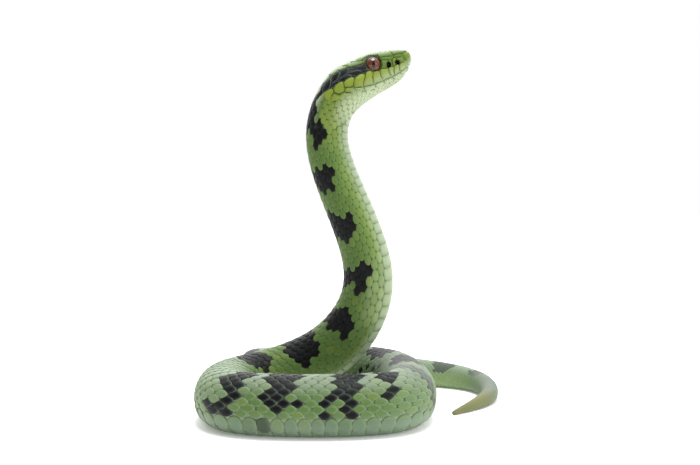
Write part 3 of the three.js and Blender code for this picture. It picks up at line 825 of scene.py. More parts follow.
# %% The charts
HALVINGS = 30
FRONT_CHART_END = 14.0  # the front chart reaches back to here


def side_chart(side):
    """Distance from the snout, and height over the centre line."""
    return lambda p: (p[:, 0], place_of(p[:, 0], p[:, 1], side))


def crown_chart(side):
    """Distance from the snout, and length round the body from the middle of the back."""
    return lambda p: (p[:, 0], side * p[:, 1] / half_round(p[:, 0]))


def chin_chart(side):
    """Distance from the snout, and length round the body from the middle of the chin."""
    return lambda p: (p[:, 0], side * (1 - p[:, 1] / half_round(p[:, 0])))


def front_chart(p):
    """Out to the left and up, on the tip of the snout; halving finds the section that passes there."""
    out, up = p[:, 0], p[:, 1]
    low, high = np.full(len(p), SNOUT_RINGS[0]), np.full(len(p), FRONT_CHART_END)
    for _ in range(HALVINGS):
        s = (low + high) / 2
        top, base, half, widest, upper_power = section(s)
        upper = up > widest
        power = np.where(upper, upper_power, LOWER_POWER)
        sine = np.abs(out / half) ** (power / 2)
        rise = (up - widest) / np.where(upper, top - widest, base + widest)
        cosine = np.sign(rise) * np.abs(rise) ** (power / 2)
        within = sine ** 2 + cosine ** 2 < 1
        low, high = np.where(within, low, s), np.where(within, s, high)
    return s, share_at(s, np.sign(out + 1e-9) * np.degrees(np.arctan2(sine, cosine)))


def round_of(s, height):
    """Length round the body from the middle of the back down to a height on the side."""
    s = np.array([float(s)])
    return float(place_of(s, np.array([float(height)]), 1)[0] * half_round(s)[0])


print("from the crown's middle to the cheek at 10 mm:", round(round_of(10, 0), 1), "mm")

# %% [markdown]
# ## One plate
# A plate is a closed lozenge with rounded corners: its root is sunk in the skin, its border
# rises a little, and its middle is the highest. Only its corners are given, and each corner
# is then rounded off. Where a plate borders a nostril or a heat pit, its outline is moved
# back to the edge of the opening, so that the hollow stays free.

# %% The outline of a plate
BITE_STEP = 0.25  # distance between the points of an outline that borders an opening


def round_off(corners, share=0.24):
    """Four points for every corner: just before it, near it, just after it and half way to the next."""
    corners = np.array(corners, float)
    before, after = np.roll(corners, 1, 0), np.roll(corners, -1, 0)
    start, end = corners + (before - corners) * share, corners + (after - corners) * share
    return np.stack([start, (start + end) / 4 + corners / 2, end, (corners + after) / 2], 1).reshape(-1, 2)


def drawn_in(ring, by):
    """The ring moved inwards by a distance."""
    along = np.roll(ring, -1, 0) - np.roll(ring, 1, 0)
    inwards = unit(np.stack([-along[:, 1], along[:, 0]], 1))
    x, y = ring.T
    area = np.sum(x * np.roll(y, -1) - np.roll(x, -1) * y)
    return ring + inwards * by * np.sign(area)


def bitten(ring, bites):
    """The outline with more points, those inside an opening moved to its edge on the plate's side."""
    edges = []
    for start, end in zip(ring, np.roll(ring, -1, 0)):
        count = int(np.ceil(np.linalg.norm(end - start) / BITE_STEP))
        edges.append(start + (end - start) * np.arange(count)[:, None] / count)
    ring = np.vstack(edges)
    for centre, halves, lean in bites:
        turn = np.array([[np.cos(lean), np.sin(lean)], [-np.sin(lean), np.cos(lean)]])
        local = (ring - centre) @ turn.T / halves
        side = np.sign(local[:, 0].mean())
        edge = np.sqrt(np.clip(1 - local[:, 1] ** 2, 0, 1))
        local[:, 0] = np.where(edge > 0, side * np.maximum(side * local[:, 0], edge), local[:, 0])
        ring = centre + (local * halves) @ turn
    return ring


print("a square gets", len(round_off([(0, 0), (1, 0), (1, 1), (0, 1)])), "points")


# %% The faces of a plate
def plate_faces(size):
    """Faces between the rings of a plate: wall, rim, top, the fan round the hub and the underside."""
    faces = []
    for level in range(3):
        low, high = level * size, (level + 1) * size
        for j in range(size):
            k = (j + 1) % size
            faces.append([low + j, low + k, high + k, high + j])
    faces += [[3 * size + j, 3 * size + (j + 1) % size, 4 * size] for j in range(size)]
    faces.append(list(range(size))[::-1])
    return faces


print("a plate of twelve points has", len(plate_faces(12)), "faces")


# %% Gather plates into a mesh
class Plates:
    """Gathers plates into one mesh."""

    ROOT = -0.55  # how deep a plate's wall reaches into the skin
    TOP_INSET = 0.2  # from the outline to where the top begins

    def __init__(self):
        self.points, self.faces, self.values, self.uv, self.outlines = [], [], [], [], []

    def add(self, chart, corners, rise=0.16, tone=0.0, lip=0.0, dark=0.0, gap=0.07, crown=0.1, bites=()):
        """Lays one plate: gap is what is left free round it, rise its border's height, crown its dome's."""
        ring = drawn_in(round_off(corners), gap)
        if bites:
            ring = bitten(ring, bites)
        middle = ring.mean(0)
        rings = [ring, ring, drawn_in(ring, self.TOP_INSET), middle + (ring - middle) * 0.5, middle[None]]
        lifts = [self.ROOT, 0.0, rise, rise + crown * 0.8, rise + crown]
        size, first = len(ring), sum(map(len, self.points))
        places = [chart(row) for row in rings]
        placed = [on_skin(s, g, lift) for (s, g), lift in zip(places, lifts)]
        self.outlines.append(np.stack([places[0][0], places[0][1] * half_round(places[0][0])], 1))
        self.points.append(np.vstack(placed))
        faces = plate_faces(size)
        top, centre = placed[3], placed[4][0]
        turn = np.cross(top[1] - centre, top[2] - centre)
        outwards = centre - centre_at(places[4][0])[0]
        if turn @ outwards < 0:
            faces = [face[::-1] for face in faces]
        self.faces += [[first + corner for corner in face] for face in faces]
        s, g = (np.concatenate(column) for column in zip(*places))
        rim = np.concatenate([np.ones(2 * size), np.full(size, 0.6), np.zeros(size + 1)])
        values = {"dark": dark, "along": s, "around": np.abs(g), "tone": tone, "rim": rim, "lip": lip}
        self.values.append(np.stack([np.broadcast_to(values[key], len(s)) for key in VALUES], 1))
        spread = np.vstack([row - middle for row in rings])
        spread = spread / max(np.abs(spread).max(), 1e-6) * PATCH
        self.uv.append(spread + self.root_place(chart, middle))

    def root_place(self, chart, middle):
        """The plate's place on the bake map."""
        s, g = chart(middle[None])
        return np.array([0.02 + 0.96 * s[0] / 50, 0.5 + 0.48 * g[0]])

    def build(self, name):
        values = dict(zip(VALUES, np.vstack(self.values).T))
        points = clear_of_eyes(np.vstack(self.points))
        return mesh_piece(name, points, self.faces, values, np.vstack(self.uv))


print("plates so far:", len(Plates().points))

# %% [markdown]
# ## The lips
# Each upper lip carries ten plates, and the last four climb behind the mouth under the black
# stripe. They are drawn one by one, because their lobed tops make the animal's face.

# %% Plates of the lips
# Corners as distance from the snout and height over the centre line.
LIP_LINE = profile([(0, -1.9), (2.5, -2.2), (5, -3.1), (8.3, -4), (10.6, -4.4), (14.4, -4.7), (19.1, -4.8),
                    (23.6, -4), (26.9, -2.3), (30, 0), (33.8, 2.2)])
UPPER_LIP = [
    [(3.5, -0.6), (4.6, -0.45), (5.9, -0.8), (6.5, -2.2), (6.6, -3.4), (4.6, -2.8), (3.9, -2.5)],
    [(6.0, -0.8), (7.0, -0.5), (8.2, -1.0), (8.9, -2.4), (9.1, -4.0), (6.7, -3.4), (6.6, -2.2)],
    [(8.3, -1.1), (9.4, -0.7), (10.6, -0.7), (11.0, -2.4), (10.5, -4.2), (9.1, -4.0), (9.0, -2.4)],
    [(10.7, -0.9), (12.2, -0.5), (13.7, -0.2), (14.3, -0.8), (14.7, -2.6), (14.4, -4.5), (10.6, -4.2),
     (11.1, -2.4)],
    [(14.4, -1.2), (15.0, -0.4), (16.9, -0.2), (17.8, -1.5), (18.5, -3.7), (18.4, -4.6), (14.5, -4.5),
     (14.8, -2.8)],
    [(17.1, -0.7), (17.6, 0.3), (18.7, 0.8), (19.9, 0.45), (20.5, -0.5), (21.6, -1.9), (22.9, -2.9),
     (23.3, -4.0), (18.5, -4.6), (18.6, -3.7), (18.0, -1.9)],
    [(20.5, -0.3), (21.0, 0.6), (22.4, 0.95), (24.2, 0.7), (25.3, 0.1), (25.9, -0.5), (26.6, -1.4),
     (27.3, -2.2), (25.6, -2.9), (23.4, -3.9), (23.0, -2.9), (21.7, -1.8)],
    [(24.8, 0.7), (25.2, 1.6), (26.4, 2.05), (27.7, 2.2), (28.9, 2.1), (29.3, 1.5), (29.9, 0.6),
     (28.4, -0.9), (26.9, -1.4), (26.0, -0.5)],
    [(28.9, 2.4), (29.2, 3.0), (30.2, 3.6), (31.8, 3.9), (32.8, 3.6), (33.5, 2.6), (33.3, 1.2),
     (32.4, 0.0), (30.9, -0.4), (30.1, 0.6), (29.4, 1.6)],
    [(33.0, 3.9), (33.0, 4.5), (34.2, 5.4), (35.4, 6.2), (36.3, 5.6), (37.2, 4.2), (36.8, 2.7),
     (35.4, 3.0), (33.8, 2.8)]]
BEHIND_MOUTH = [
    [(30.1, 0.1), (28.2, -1.4), (27.6, -2.5), (28.9, -3.1), (31.0, -1.2), (31.0, -0.6)],
    [(31.2, -0.7), (31.2, -1.4), (29.6, -3.1), (30.6, -3.6), (33.0, -1.4), (33.6, 0.3), (32.8, 0.0)],
    [(33.9, 2.3), (33.6, 0.9), (33.2, -1.2), (35.0, -0.6), (36.9, 1.4), (36.4, 2.4), (35.3, 2.8)]]
# Where the lower lip's plates are parted, at the mouth and at their foot, and how tall they are.
LOWER_CUTS = [(3.0, 2.6), (6.6, 6.0), (10.3, 9.5), (14.4, 13.8), (18.4, 18.2), (23.5, 24.2), (27.4, 28.2)]
LOWER_TALL = profile([(3, 1.6), (9, 2.3), (16, 2.3), (23, 2.0), (28, 1.5)])
MOUTH_GAP = 0.12
print(len(UPPER_LIP), "plates on an upper lip,", len(LOWER_CUTS) - 1, "on a lower one")

# %% Lay the lips
plates = Plates()


def lower_lip_corners(front, hind):
    """Six corners under the mouth, between two cuts."""
    (top_a, foot_a), (top_b, foot_b) = front, hind
    at_top = [(s, 0) for s in (top_a, (top_a + top_b) / 2, top_b)]
    at_foot = [(s, 1) for s in (foot_b, (foot_a + foot_b) / 2, foot_a)]
    return [(s, round_of(s, LIP_LINE(s)) + MOUTH_GAP + down * float(LOWER_TALL(s)))
            for s, down in at_top + at_foot]


for side in (1, -1):
    for corners in UPPER_LIP:
        plates.add(side_chart(side), corners, lip=1.0, tone=random.uniform(-0.2, 0.2), rise=0.2, gap=0.04)
    for corners in BEHIND_MOUTH:
        plates.add(side_chart(side), corners, lip=0.8, rise=0.14, gap=0.04)
    for front, hind in zip(LOWER_CUTS, LOWER_CUTS[1:]):
        plates.add(crown_chart(side), lower_lip_corners(front, hind), lip=0.35, rise=0.14, tone=0.2)
print("plates of the lips:", len(plates.points))

# %% [markdown]
# ## The stripe's plates
# Behind the eye the black stripe runs over seven plates of its own, and three green ones
# border it above. A stripe painted over small scales would fray; with plates that end where
# the colour ends, its edges are crisp.

# %% Plates of the black stripe and above it
STRIPE_PLATES = [
    [(18.3, 4.4), (21.1, 4.5), (23.9, 5.4), (24.4, 5.0), (22.3, 3.4), (20.4, 1.6), (18.6, 1.6), (18.4, 3.0)],
    [(20.3, 0.6), (18.4, 0.7), (18.6, 1.4), (20.5, 1.5), (22.3, 3.3), (25.4, 3.9), (25.8, 3.3), (24.4, 1.6),
     (23.9, 0.9), (21.8, 1.1)],
    [(24.5, 5.0), (24.1, 5.6), (26.8, 6.6), (27.5, 5.8), (29.3, 4.5), (26.2, 3.9), (25.6, 4.1)],
    [(24.6, 1.7), (26.0, 3.5), (29.3, 4.3), (29.6, 3.6), (28.9, 2.3), (26.4, 2.2), (25.1, 1.7)],
    [(27.6, 5.9), (27.0, 6.7), (29.1, 7.6), (30.3, 7.5), (30.9, 6.3), (31.8, 5.5), (29.6, 4.6)],
    [(29.7, 4.3), (32.0, 5.3), (33.0, 4.9), (32.9, 4.3), (31.8, 4.0), (30.1, 3.7), (29.5, 3.1)],
    [(31.0, 6.5), (30.5, 7.6), (32.2, 8.2), (34.4, 8.1), (35.6, 6.5), (34.2, 5.5), (33.2, 5.1), (32.1, 5.6)]]
TEMPLE_PLATES = [
    [(18.4, 5.4), (18.2, 4.6), (21.1, 4.7), (23.9, 5.6), (24.6, 7.0), (22.5, 7.2), (20.5, 6.5)],
    [(24.2, 5.8), (26.8, 6.8), (27.8, 8.0), (25.6, 8.0), (24.9, 7.1)],
    [(27.1, 6.9), (29.1, 7.8), (30.6, 8.7), (28.6, 8.9), (27.9, 8.1)]]
for side in (1, -1):
    for corners in STRIPE_PLATES:
        plates.add(side_chart(side), corners, dark=1.0, rise=0.12)
    for corners in TEMPLE_PLATES:
        plates.add(side_chart(side), corners, tone=-0.3, rise=0.14)
print("plates with the stripe:", len(plates.points))

# %% [markdown]
# ## The snout
# Round the nostril and the heat pit the plates are small and each has its own shape. They
# are drawn round the openings, and only the skin behind them is cut later. That keeps each
# plate a clean closed mesh.

# %% Openings and plates of the snout
NOSTRIL, PIT = (6.4, 0.25), (10.0, 0.3)  # distance and height of their middles
PIT_LEAN = 14  # degrees
# An opening's middle, half its width and height, and how it leans.
BITES = [(NOSTRIL, (1.1, 1.1), 0.0), (PIT, (0.95, 1.45), np.radians(PIT_LEAN))]
SNOUT = [  # corners, tone
    ([(3.5, 0.8), (3.9, 1.7), (5.3, 2.0), (6.3, 2.2), (6.33, 0.9), (6.3, -0.5), (5.9, -0.6), (4.6, -0.3),
      (3.6, -0.4)], 0.0),
    ([(6.47, 2.3), (7.1, 2.4), (8.1, 1.7), (8.5, 0.4), (8.2, -0.85), (7.0, -0.35), (6.47, -0.5),
      (6.47, 0.9)], -0.1),
    ([(8.2, 1.8), (9.0, 2.1), (9.5, 2.0), (9.95, 0.4), (10.25, -0.7), (8.4, -0.9), (8.7, 0.4)], -0.2),
    ([(9.8, 2.3), (12.6, 3.2), (12.8, 1.6), (13.5, 0.1), (13.6, -0.4), (12.2, -0.4), (10.8, -0.6),
      (10.35, -0.7), (10.05, 0.4), (9.6, 2.0)], -0.75),
    ([(7.4, 2.6), (8.1, 1.9), (10.3, 2.5), (12.5, 3.35), (12.5, 4.4), (10.0, 3.8), (7.2, 3.3)], -0.35),
    ([(3.5, 3.3), (3.9, 2.1), (5.3, 2.1), (7.1, 2.5), (7.1, 3.4), (5.5, 3.4)], -0.9),
    ([(12.9, 3.1), (14.2, 4.2), (14.4, 2.0), (14.2, 0.4), (13.9, -0.1), (13.6, 0.2), (13.0, 1.6)], -0.6)]


def crown_corners(rows):
    """Corners as distance, height on the side and how much further in towards the middle."""
    return [(s, round_of(s, height) - inwards) for s, height, inwards in rows]


# Corners, tone, rise. The last one is the large plate over the eye.
CROWN_EDGE = [
    ([(7.3, 3.4, 0), (10.0, 3.9, 0), (12.4, 4.5, 0), (12.7, 5.2, 0.6), (12.2, 5.2, 1.9), (9.6, 4.5, 2.2),
      (7.5, 4.2, 2.0)], -0.5, 0.16),
    ([(4.0, 3.4, 0), (5.5, 3.5, 0), (7.1, 3.5, 0), (7.3, 4.2, 1.9), (5.6, 4.0, 2.2), (2.6, 3.3, 1.7),
      (2.6, 3.0, 0)], -0.4, 0.16),
    ([(12.5, 5.3, -0.1), (13.3, 5.9, -0.1), (14.7, 6.45, -0.1), (16.5, 6.6, -0.1), (18.2, 6.2, -0.1),
      (19.6, 5.6, -0.1), (20.9, 5.6, 0.8), (20.6, 6.3, 2.0), (18.2, 6.9, 2.6), (15.2, 6.9, 2.8),
      (12.8, 5.8, 2.2)], -0.3, 0.45)]
# The same for the tip of the snout, on the front chart: corners on the left, then the finish.
TIP_PLATES = [
    ([(2.9, 3.7), (2.7, 2.1), (3.1, 0.0), (5.0, -0.3), (5.3, 1.4), (4.9, 3.0)], {"lip": 0.3}),
    ([(0.1, 4.6), (0.1, 3.8), (2.6, 3.6), (4.0, 3.3), (3.6, 4.6)], {"tone": -0.2}),
    ([(3.0, -0.3), (4.5, -0.6), (5.0, -2.3), (3.2, -1.9)], {"lip": 0.9})]
MIDDLE_PLATE = [(-2.3, 3.6), (2.3, 3.6), (2.6, 1.5), (2.9, -1.8), (-2.9, -1.8), (-2.6, 1.5)]
print("openings on a side:", len(BITES))


# %% Lay the snout
def keep_free(side, centre, halves):
    """Tells the small scales to keep out of an opening too."""
    turn = np.linspace(0, 2 * np.pi, 16, endpoint=False)
    s, g = side_chart(side)(centre + np.stack([np.cos(turn), np.sin(turn)], 1) * halves)
    plates.outlines.append(np.stack([s, g * half_round(s)], 1))


for side in (1, -1):
    for corners, tone in SNOUT:
        lip = 0.25 if tone > -0.15 else 0.0
        plates.add(side_chart(side), corners, tone=tone, lip=lip, bites=BITES, gap=0.05)
    for centre, halves, _ in BITES:
        keep_free(side, centre, halves)
    for rows, tone, rise in CROWN_EDGE:
        plates.add(crown_chart(side), crown_corners(rows), tone=tone, rise=rise, gap=0.05)
    for corners, look in TIP_PLATES:
        plates.add(front_chart, [(side * across, up) for across, up in corners], **look)
plates.add(front_chart, MIDDLE_PLATE, lip=0.6, rise=0.2)
print("plates so far:", len(plates.points))

# %% [markdown]
# ## The chin
# Behind the lower lip two pairs of long shields meet in the middle of the chin, and one
# small plate stands in front of them. They are drawn from the middle outwards, because the
# chin is nearly flat there.

# %% Plates of the chin
CHIN = [[(4.6, 0.1), (9.8, 0.1), (9.6, 2.0), (7.0, 2.6), (4.8, 1.6)],
        [(10.0, 0.1), (14.6, 0.1), (14.4, 1.9), (12.0, 2.5), (9.9, 2.1)]]
CHIN_FRONT = [(-2.6, -2.4), (2.6, -2.4), (1.5, -3.4), (0, -3.9), (-1.5, -3.4)]
for side in (1, -1):
    for corners in CHIN:
        plates.add(chin_chart(side), corners, lip=0.2, rise=0.12)
plates.add(front_chart, CHIN_FRONT, lip=0.4, rise=0.12)
head_plates = plates.build("head_plates")
print("head plates:", len(plates.points), "with", len(head_plates.data.polygons), "faces")

# %% [markdown]
# ## Small scales of the head
# Between the plates the rows of scales go on over the head, where the scales are small. They
# are laid by the same rule as on the trunk, and a scale is left out where a plate, an
# opening or an eye is.

# %% Which places are taken
EYE_CLEARANCE = 0.4
CHEEK_OUT = 4  # past this reach to the side a place is on the cheek
TRIAL_SPOTS = ((0, 0), (0.55, 0), (-0.55, 0), (0, 0.55), (0, -0.55))  # as shares of a scale


def covered(s, g, long, wide):
    """Whether a plate or an eye takes the place of a scale. Its middle counts twice."""
    hits = np.zeros(len(s))
    for a, b in TRIAL_SPOTS:
        at_s, at_g = s + a * long, g + b * wide
        spot = np.stack([at_s, at_g * half_round(at_s)], 1)
        under = np.zeros(len(s), bool)
        for ring in plates.outlines:
            under |= inside(spot, ring)
        out, up = outline(at_s, degrees_at(at_s, at_g))
        from_eye = np.hypot(at_s - EYE_BACK, up - EYE_UP)
        under |= (from_eye < EYE_RADIUS + EYE_CLEARANCE) & (np.abs(out) > CHEEK_OUT)
        hits += under * (2 if a == b == 0 else 1)
    return hits >= 3 - 1.0 * (s < 24)  # the face's scales give way sooner


print("places tried for each scale:", len(TRIAL_SPOTS))

# %% Scales of crown, temples and throat
rows = rows_of_scales(range(-16, 17), 3.6, SCALE_START)
s, g = np.vstack([rows, row_of_scales(17, 1.0, 14.8, VENTRAL_START - 1)]).T
free = (1 - np.abs(g) > ventral_half(s) + 0.02) | (s < VENTRAL_START - 1)
free &= (np.abs(g) < 0.62) | (s > 4.5)
s, g = s[free], g[free]
jaw = smoothstep(s, 26, 34) * smoothstep(np.abs(g), 0.18, 0.32)
long, wide = pitch(s) * (0.54 - 0.05 * jaw), ROW * (0.86 - 0.16 * jaw)
keep = ~covered(s, g, long, wide)
s, g, long, wide, jaw = s[keep], g[keep], long[keep], wide[keep], jaw[keep]
head_scales = lay("head_scales", s, g, long, wide, 1.7 + 0.1 * jaw, dark_ones(s, g, 0.3), (0, 50))
print("small scales of the head:", len(s))
coat += [head_plates, head_scales]

# %% [markdown]
# ## Hollows for eyes, nostrils and heat pits
# The eyes sit in sockets, and the nostrils and heat pits are real holes. A Boolean takes
# rounded cutters away from the skin, so each hollow has clean walls. The plates were drawn
# round the openings and need no cut. The cutters carry a nearly black finish, painted shade,
# which the walls inherit.


# %% A ball in the head
def add_ball(name, centre, half, columns=24, rows=16, lean=0.0):
    """A ball with its half sizes back, out and up along the head's axes; lean tips it back, in degrees."""
    deselect_all()
    bpy.ops.mesh.primitive_uv_sphere_add(segments=columns, ring_count=rows, radius=1)
    ball = bpy.context.object
    ball.name = name
    spots = points_of(ball) * half
    angle = math.radians(lean)
    back = spots[:, 0] * math.cos(angle) - spots[:, 2] * math.sin(angle)
    up = spots[:, 0] * math.sin(angle) + spots[:, 2] * math.cos(angle)
    placed = centre + back[:, None] * HEAD_BACK + spots[:, 1:2] * HEAD_LEFT + up[:, None] * HEAD_UP
    set_points(ball.data, placed * MM)
    bpy.ops.object.mode_set(mode="EDIT")
    face_outwards()
    bpy.ops.object.shade_smooth()
    return ball


print("the head dips by", round(math.degrees(HEAD_PITCH)), "degrees")

# %% Cutters for the hollows
hollow = bpy.data.materials.new("hollow")
hollow.use_nodes = True
hollow_surface = hollow.node_tree.nodes["Principled BSDF"].inputs
# Nearly black: painted shade on the walls of sockets, nostrils and heat pits.
hollow_surface["Base Color"].default_value = (0.006, 0.006, 0.005, 1)
hollow_surface["Roughness"].default_value = 0.6
SOCKET_GAP = 0.3  # between an eyeball and its socket
NOSTRIL_CUT = (1.2, 1.9, 1.2)  # half sizes back, out and up
PIT_CUT = (1.05, 2.0, 1.55)
CUT_SINK = -0.2  # how far under the skin a cutter's middle lies


def cheek_spot(back, up, side):
    """Where the middle of a cutter lies, a little under the cheek."""
    s = np.array([back])
    return on_skin(s, place_of(s, np.array([up]), side), CUT_SINK)[0]


cutters = []
for side in (1, -1):
    eye_middle = head_point(EYE_BACK, EYE_UP, side * EYE_OUT)
    cutters.append(add_ball("eye_cutter", eye_middle, (EYE_RADIUS + SOCKET_GAP,) * 3, 48, 24))
    cutters.append(add_ball("nostril_cutter", cheek_spot(*NOSTRIL, side), NOSTRIL_CUT))
    cutters.append(add_ball("pit_cutter", cheek_spot(*PIT, side), PIT_CUT, lean=PIT_LEAN))
for cutter in cutters:
    cutter.data.materials.append(hollow)
print(len(cutters), "cutters")

# %% [markdown]
# ## Tools for finishes
# A finish is a net of nodes, and a long list of node calls is hard to read. So a value in
# the net is wrapped in a small class that Python can add and multiply, and the finish itself
# has a few words of its own: mix two colours, rise between two values, make noise.


# %% Values that Python can reckon with
class Wire:
    """A value in a material, which Python can reckon with."""

    def __init__(self, finish, socket):
        self.finish, self.socket = finish, socket

    def reckon(self, operation, first, second):
        return self.finish.node("ShaderNodeMath", {"operation": operation}, {0: first, 1: second})

    def __add__(self, other):
        return self.reckon("ADD", self, other)

    def __mul__(self, other):
        return self.reckon("MULTIPLY", self, other)

    def __sub__(self, other):
        return self.reckon("SUBTRACT", self, other)

    def __rsub__(self, other):
        return self.reckon("SUBTRACT", other, self)

    def root(self):
        return self.reckon("SQRT", self, 0.0)

    __radd__, __rmul__ = __add__, __mul__


print("a wire can be added, multiplied, taken away and rooted")


# %% The nodes of a finish
class Finish:
    """The nodes of a material or of the world, under way."""

    def __init__(self, owner):
        owner.use_nodes = True
        self.material, self.tree = owner, owner.node_tree
        self.surface = (self.tree.nodes.get("Principled BSDF") or self.tree.nodes["Background"]).inputs

    def node(self, kind, settings=None, sockets=None, output=0):
        made = self.tree.nodes.new(kind)
        for key, value in (settings or {}).items():
            if key == "stops":
                self.set_stops(made.color_ramp, value)
            else:
                setattr(made, key, value)
        for key, value in (sockets or {}).items():
            self.feed(made.inputs[key], value)
        return Wire(self, made.outputs[output])

    def set_stops(self, ramp, stops):
        while len(ramp.elements) < len(stops):
            ramp.elements.new(0.5)
        for element, (place, colour) in zip(ramp.elements, stops):
            element.position, element.color = place, (*colour, 1)

    def feed(self, socket, value):
        if isinstance(value, Wire):
            self.tree.links.new(value.socket, socket)
        else:
            socket.default_value = value

    def value(self, name):
        """A number that the mesh carries."""
        return self.node("ShaderNodeAttribute", {"attribute_name": name}, output=2)

    def mix(self, share, first, second, blend="MIX"):
        colours = [(*c, 1) if isinstance(c, tuple) else c for c in (first, second)]
        return self.node("ShaderNodeMix", {"data_type": "RGBA", "blend_type": blend},
                         {0: share, 6: colours[0], 7: colours[1]}, 2)

    def between(self, value, low, high):
        """0 below low, 1 above high, and smooth between."""
        return self.node("ShaderNodeMapRange", {"interpolation_type": "SMOOTHSTEP"},
                         {"Value": value, "From Min": low, "From Max": high})

    def under(self, value, low, high):
        """1 below low, 0 above high, and smooth between."""
        return 1 - self.between(value, low, high)

    def stretch(self, value, low, full, past, end):
        """0 below low and above end, and 1 from full to past."""
        return self.between(value, low, full) * self.under(value, past, end)

    def shaded(self, colour, shades):
        """The colour with others mixed in, one after the other, each by its share."""
        for share, other in shades:
            colour = self.mix(share, colour, other)
        return colour

    def ramp(self, value, stops):
        return self.node("ShaderNodeValToRGB", {"stops": stops}, {0: value})

    def noise(self, size, detail=2):
        """Noise whose lumps are about size millimetres."""
        place = self.node("ShaderNodeTexCoord", output=3)
        sockets = {"Vector": place, "Scale": 1 / (size * MM), "Detail": detail}
        return self.node("ShaderNodeTexNoise", {}, sockets)

    def part_along(self, offset, axis):
        """How far a direction reaches along an axis."""
        sockets = {0: offset, 1: tuple(axis)}
        return self.node("ShaderNodeVectorMath", {"operation": "DOT_PRODUCT"}, sockets, 1)


print("words of a finish:", [word for word in vars(Finish) if not word.startswith("_")])


# %% Colours and plain finishes
def srgb(*levels):
    """A colour given as it looks on a screen, 0 to 255."""
    return tuple((c / 255 / 12.92 if c <= 10 else ((c / 255 + 0.055) / 1.055) ** 2.4) for c in levels)


def plain(name, colour, rough):
    """One colour all over."""
    f = Finish(bpy.data.materials.new(name))
    f.feed(f.surface["Base Color"], (*colour, 1))
    f.feed(f.surface["Roughness"], rough)
    return f


print("mid grey on a screen is", round(srgb(128)[0], 3), "in light")

# %% [markdown]
# ## The finish of skin, scales and plates
# One finish covers the whole coat, so no border shows where two pieces meet. Its green runs
# from an olive back over fresh sides to a pale belly, and each region has its own shade: the
# face is yellower, the loop greyer, the tail paler with a brown tip. Some of it is painted
# light: a painted sheen on the crown, on the top of the loop and at its two ends, and painted
# shade at the neck's base inside the loop and on the loop's far strand. The scales' raised
# rims are a little paler than their middles, and the skin between them shows as a thin line,
# on the loop lifted further by painted light against the shade in the gaps. The finish finds
# all that from the values that each point carries, so no picture is needed.


# %% What the finish knows about a spot
class Spot:
    """The values of a spot, and the regions that more than one colour needs."""

    def __init__(self, f):
        self.dark, self.along, self.around, self.tone, self.rim, self.lip = map(f.value, VALUES)
        self.coil = f.between(self.along, 168, 200)
        self.head = f.under(self.along, 36, 50)
        self.crown = self.head * f.under(self.around, 0.18, 0.34)
        self.tail = f.between(self.along, 430, 500)
        self.pale_end = f.between(self.along, 536, 556)
        self.gap = f.between(self.tone * -1, 1.2, 1.8)


print("regions run over the distance from the snout, 0 to", round(LENGTH), "mm")

# %% The greens
NECK_GREENS = [  # share of the way from back to belly, colour
    (0.0, srgb(92, 112, 70)), (0.2, srgb(84, 108, 56)), (0.35, srgb(74, 99, 47)), (0.5, srgb(84, 109, 53)),
    (0.62, srgb(105, 129, 67)), (0.68, srgb(127, 147, 96)), (0.74, srgb(146, 161, 132)),
    (1.0, srgb(158, 174, 146))]
# The loop's top, from 0 to 0.2 of the way round, is pale grey: a painted sheen from the light above and
# behind.
COIL_GREENS = [
    (0.0, srgb(132, 142, 132)), (0.2, srgb(112, 126, 106)), (0.34, srgb(82, 106, 60)),
    (0.5, srgb(86, 112, 60)), (0.58, srgb(96, 117, 80)), (0.64, srgb(103, 122, 102)),
    (1.0, srgb(126, 144, 120))]


def body_green(f, at):
    """Green of neck and trunk: local shades, painted shade and sheen among them, and scales that differ a
    little.
    """
    along, around = at.along, at.around
    green = f.mix(at.coil, f.ramp(around, NECK_GREENS), f.ramp(around, COIL_GREENS))
    low_neck = f.stretch(along, 95, 112, 118, 132) * f.between(around, 0.42, 0.6)
    # Painted shade: darker green at the neck's base, inside the loop.
    foot = f.stretch(along, 120, 134, 176, 196) * f.stretch(around, 0.32, 0.46, 0.62, 0.76)
    # Painted shade: darker green on the loop's far strand.
    far_side_shade = f.stretch(along, 312, 340, 400, 440)
    # Painted sheen: paler green at the loop's left and right ends, where they turn away.
    bend_sheen = f.stretch(along, 198, 210, 226, 240)
    right_end_sheen = f.stretch(along, 278, 294, 306, 320)
    ridge = f.stretch(along, 286, 302, 318, 332) * f.under(around, 0.2, 0.4)
    return f.shaded(green, [
        (low_neck * 0.4, srgb(150, 166, 124)), (foot * 0.7, srgb(77, 101, 50)),
        (far_side_shade * 0.6, srgb(80, 98, 70)), (bend_sheen * 0.45 + right_end_sheen * 0.35, srgb(134, 150, 124)),
        (ridge * 0.75, srgb(84, 98, 80)), (f.between(at.tone, 0.5, 1.0) * 0.14, srgb(138, 150, 56)),
        (f.between(at.tone * -1, 0.3, 1.0) * 0.26, srgb(68, 94, 46))])


def head_green(f, at, green):
    """The head's own shades over the body's green: jaw, a painted sheen on the crown, the edge of the snout,
    lips and chin.
    """
    along, around = at.along, at.around
    jaw = f.stretch(along, 26, 33, 46, 56) * f.stretch(around, 0.3, 0.4, 0.6, 0.74)
    snout_edge = f.under(along, 17, 24) * f.stretch(around, 0.2, 0.32, 0.54, 0.6)
    chin = f.between(around + 0.05 * f.between(along, 26, 34), 0.52, 0.7) * f.under(along, 36, 50)
    # The crown's pale whitish green is painted sheen.
    return f.shaded(green, [
        (jaw * 0.6, srgb(120, 137, 60)), (at.crown * 0.8, srgb(160, 172, 148)),
        (snout_edge * 0.75, srgb(82, 104, 38)), (at.lip, srgb(118, 133, 47)),
        (chin * 0.85, srgb(162, 174, 140))])


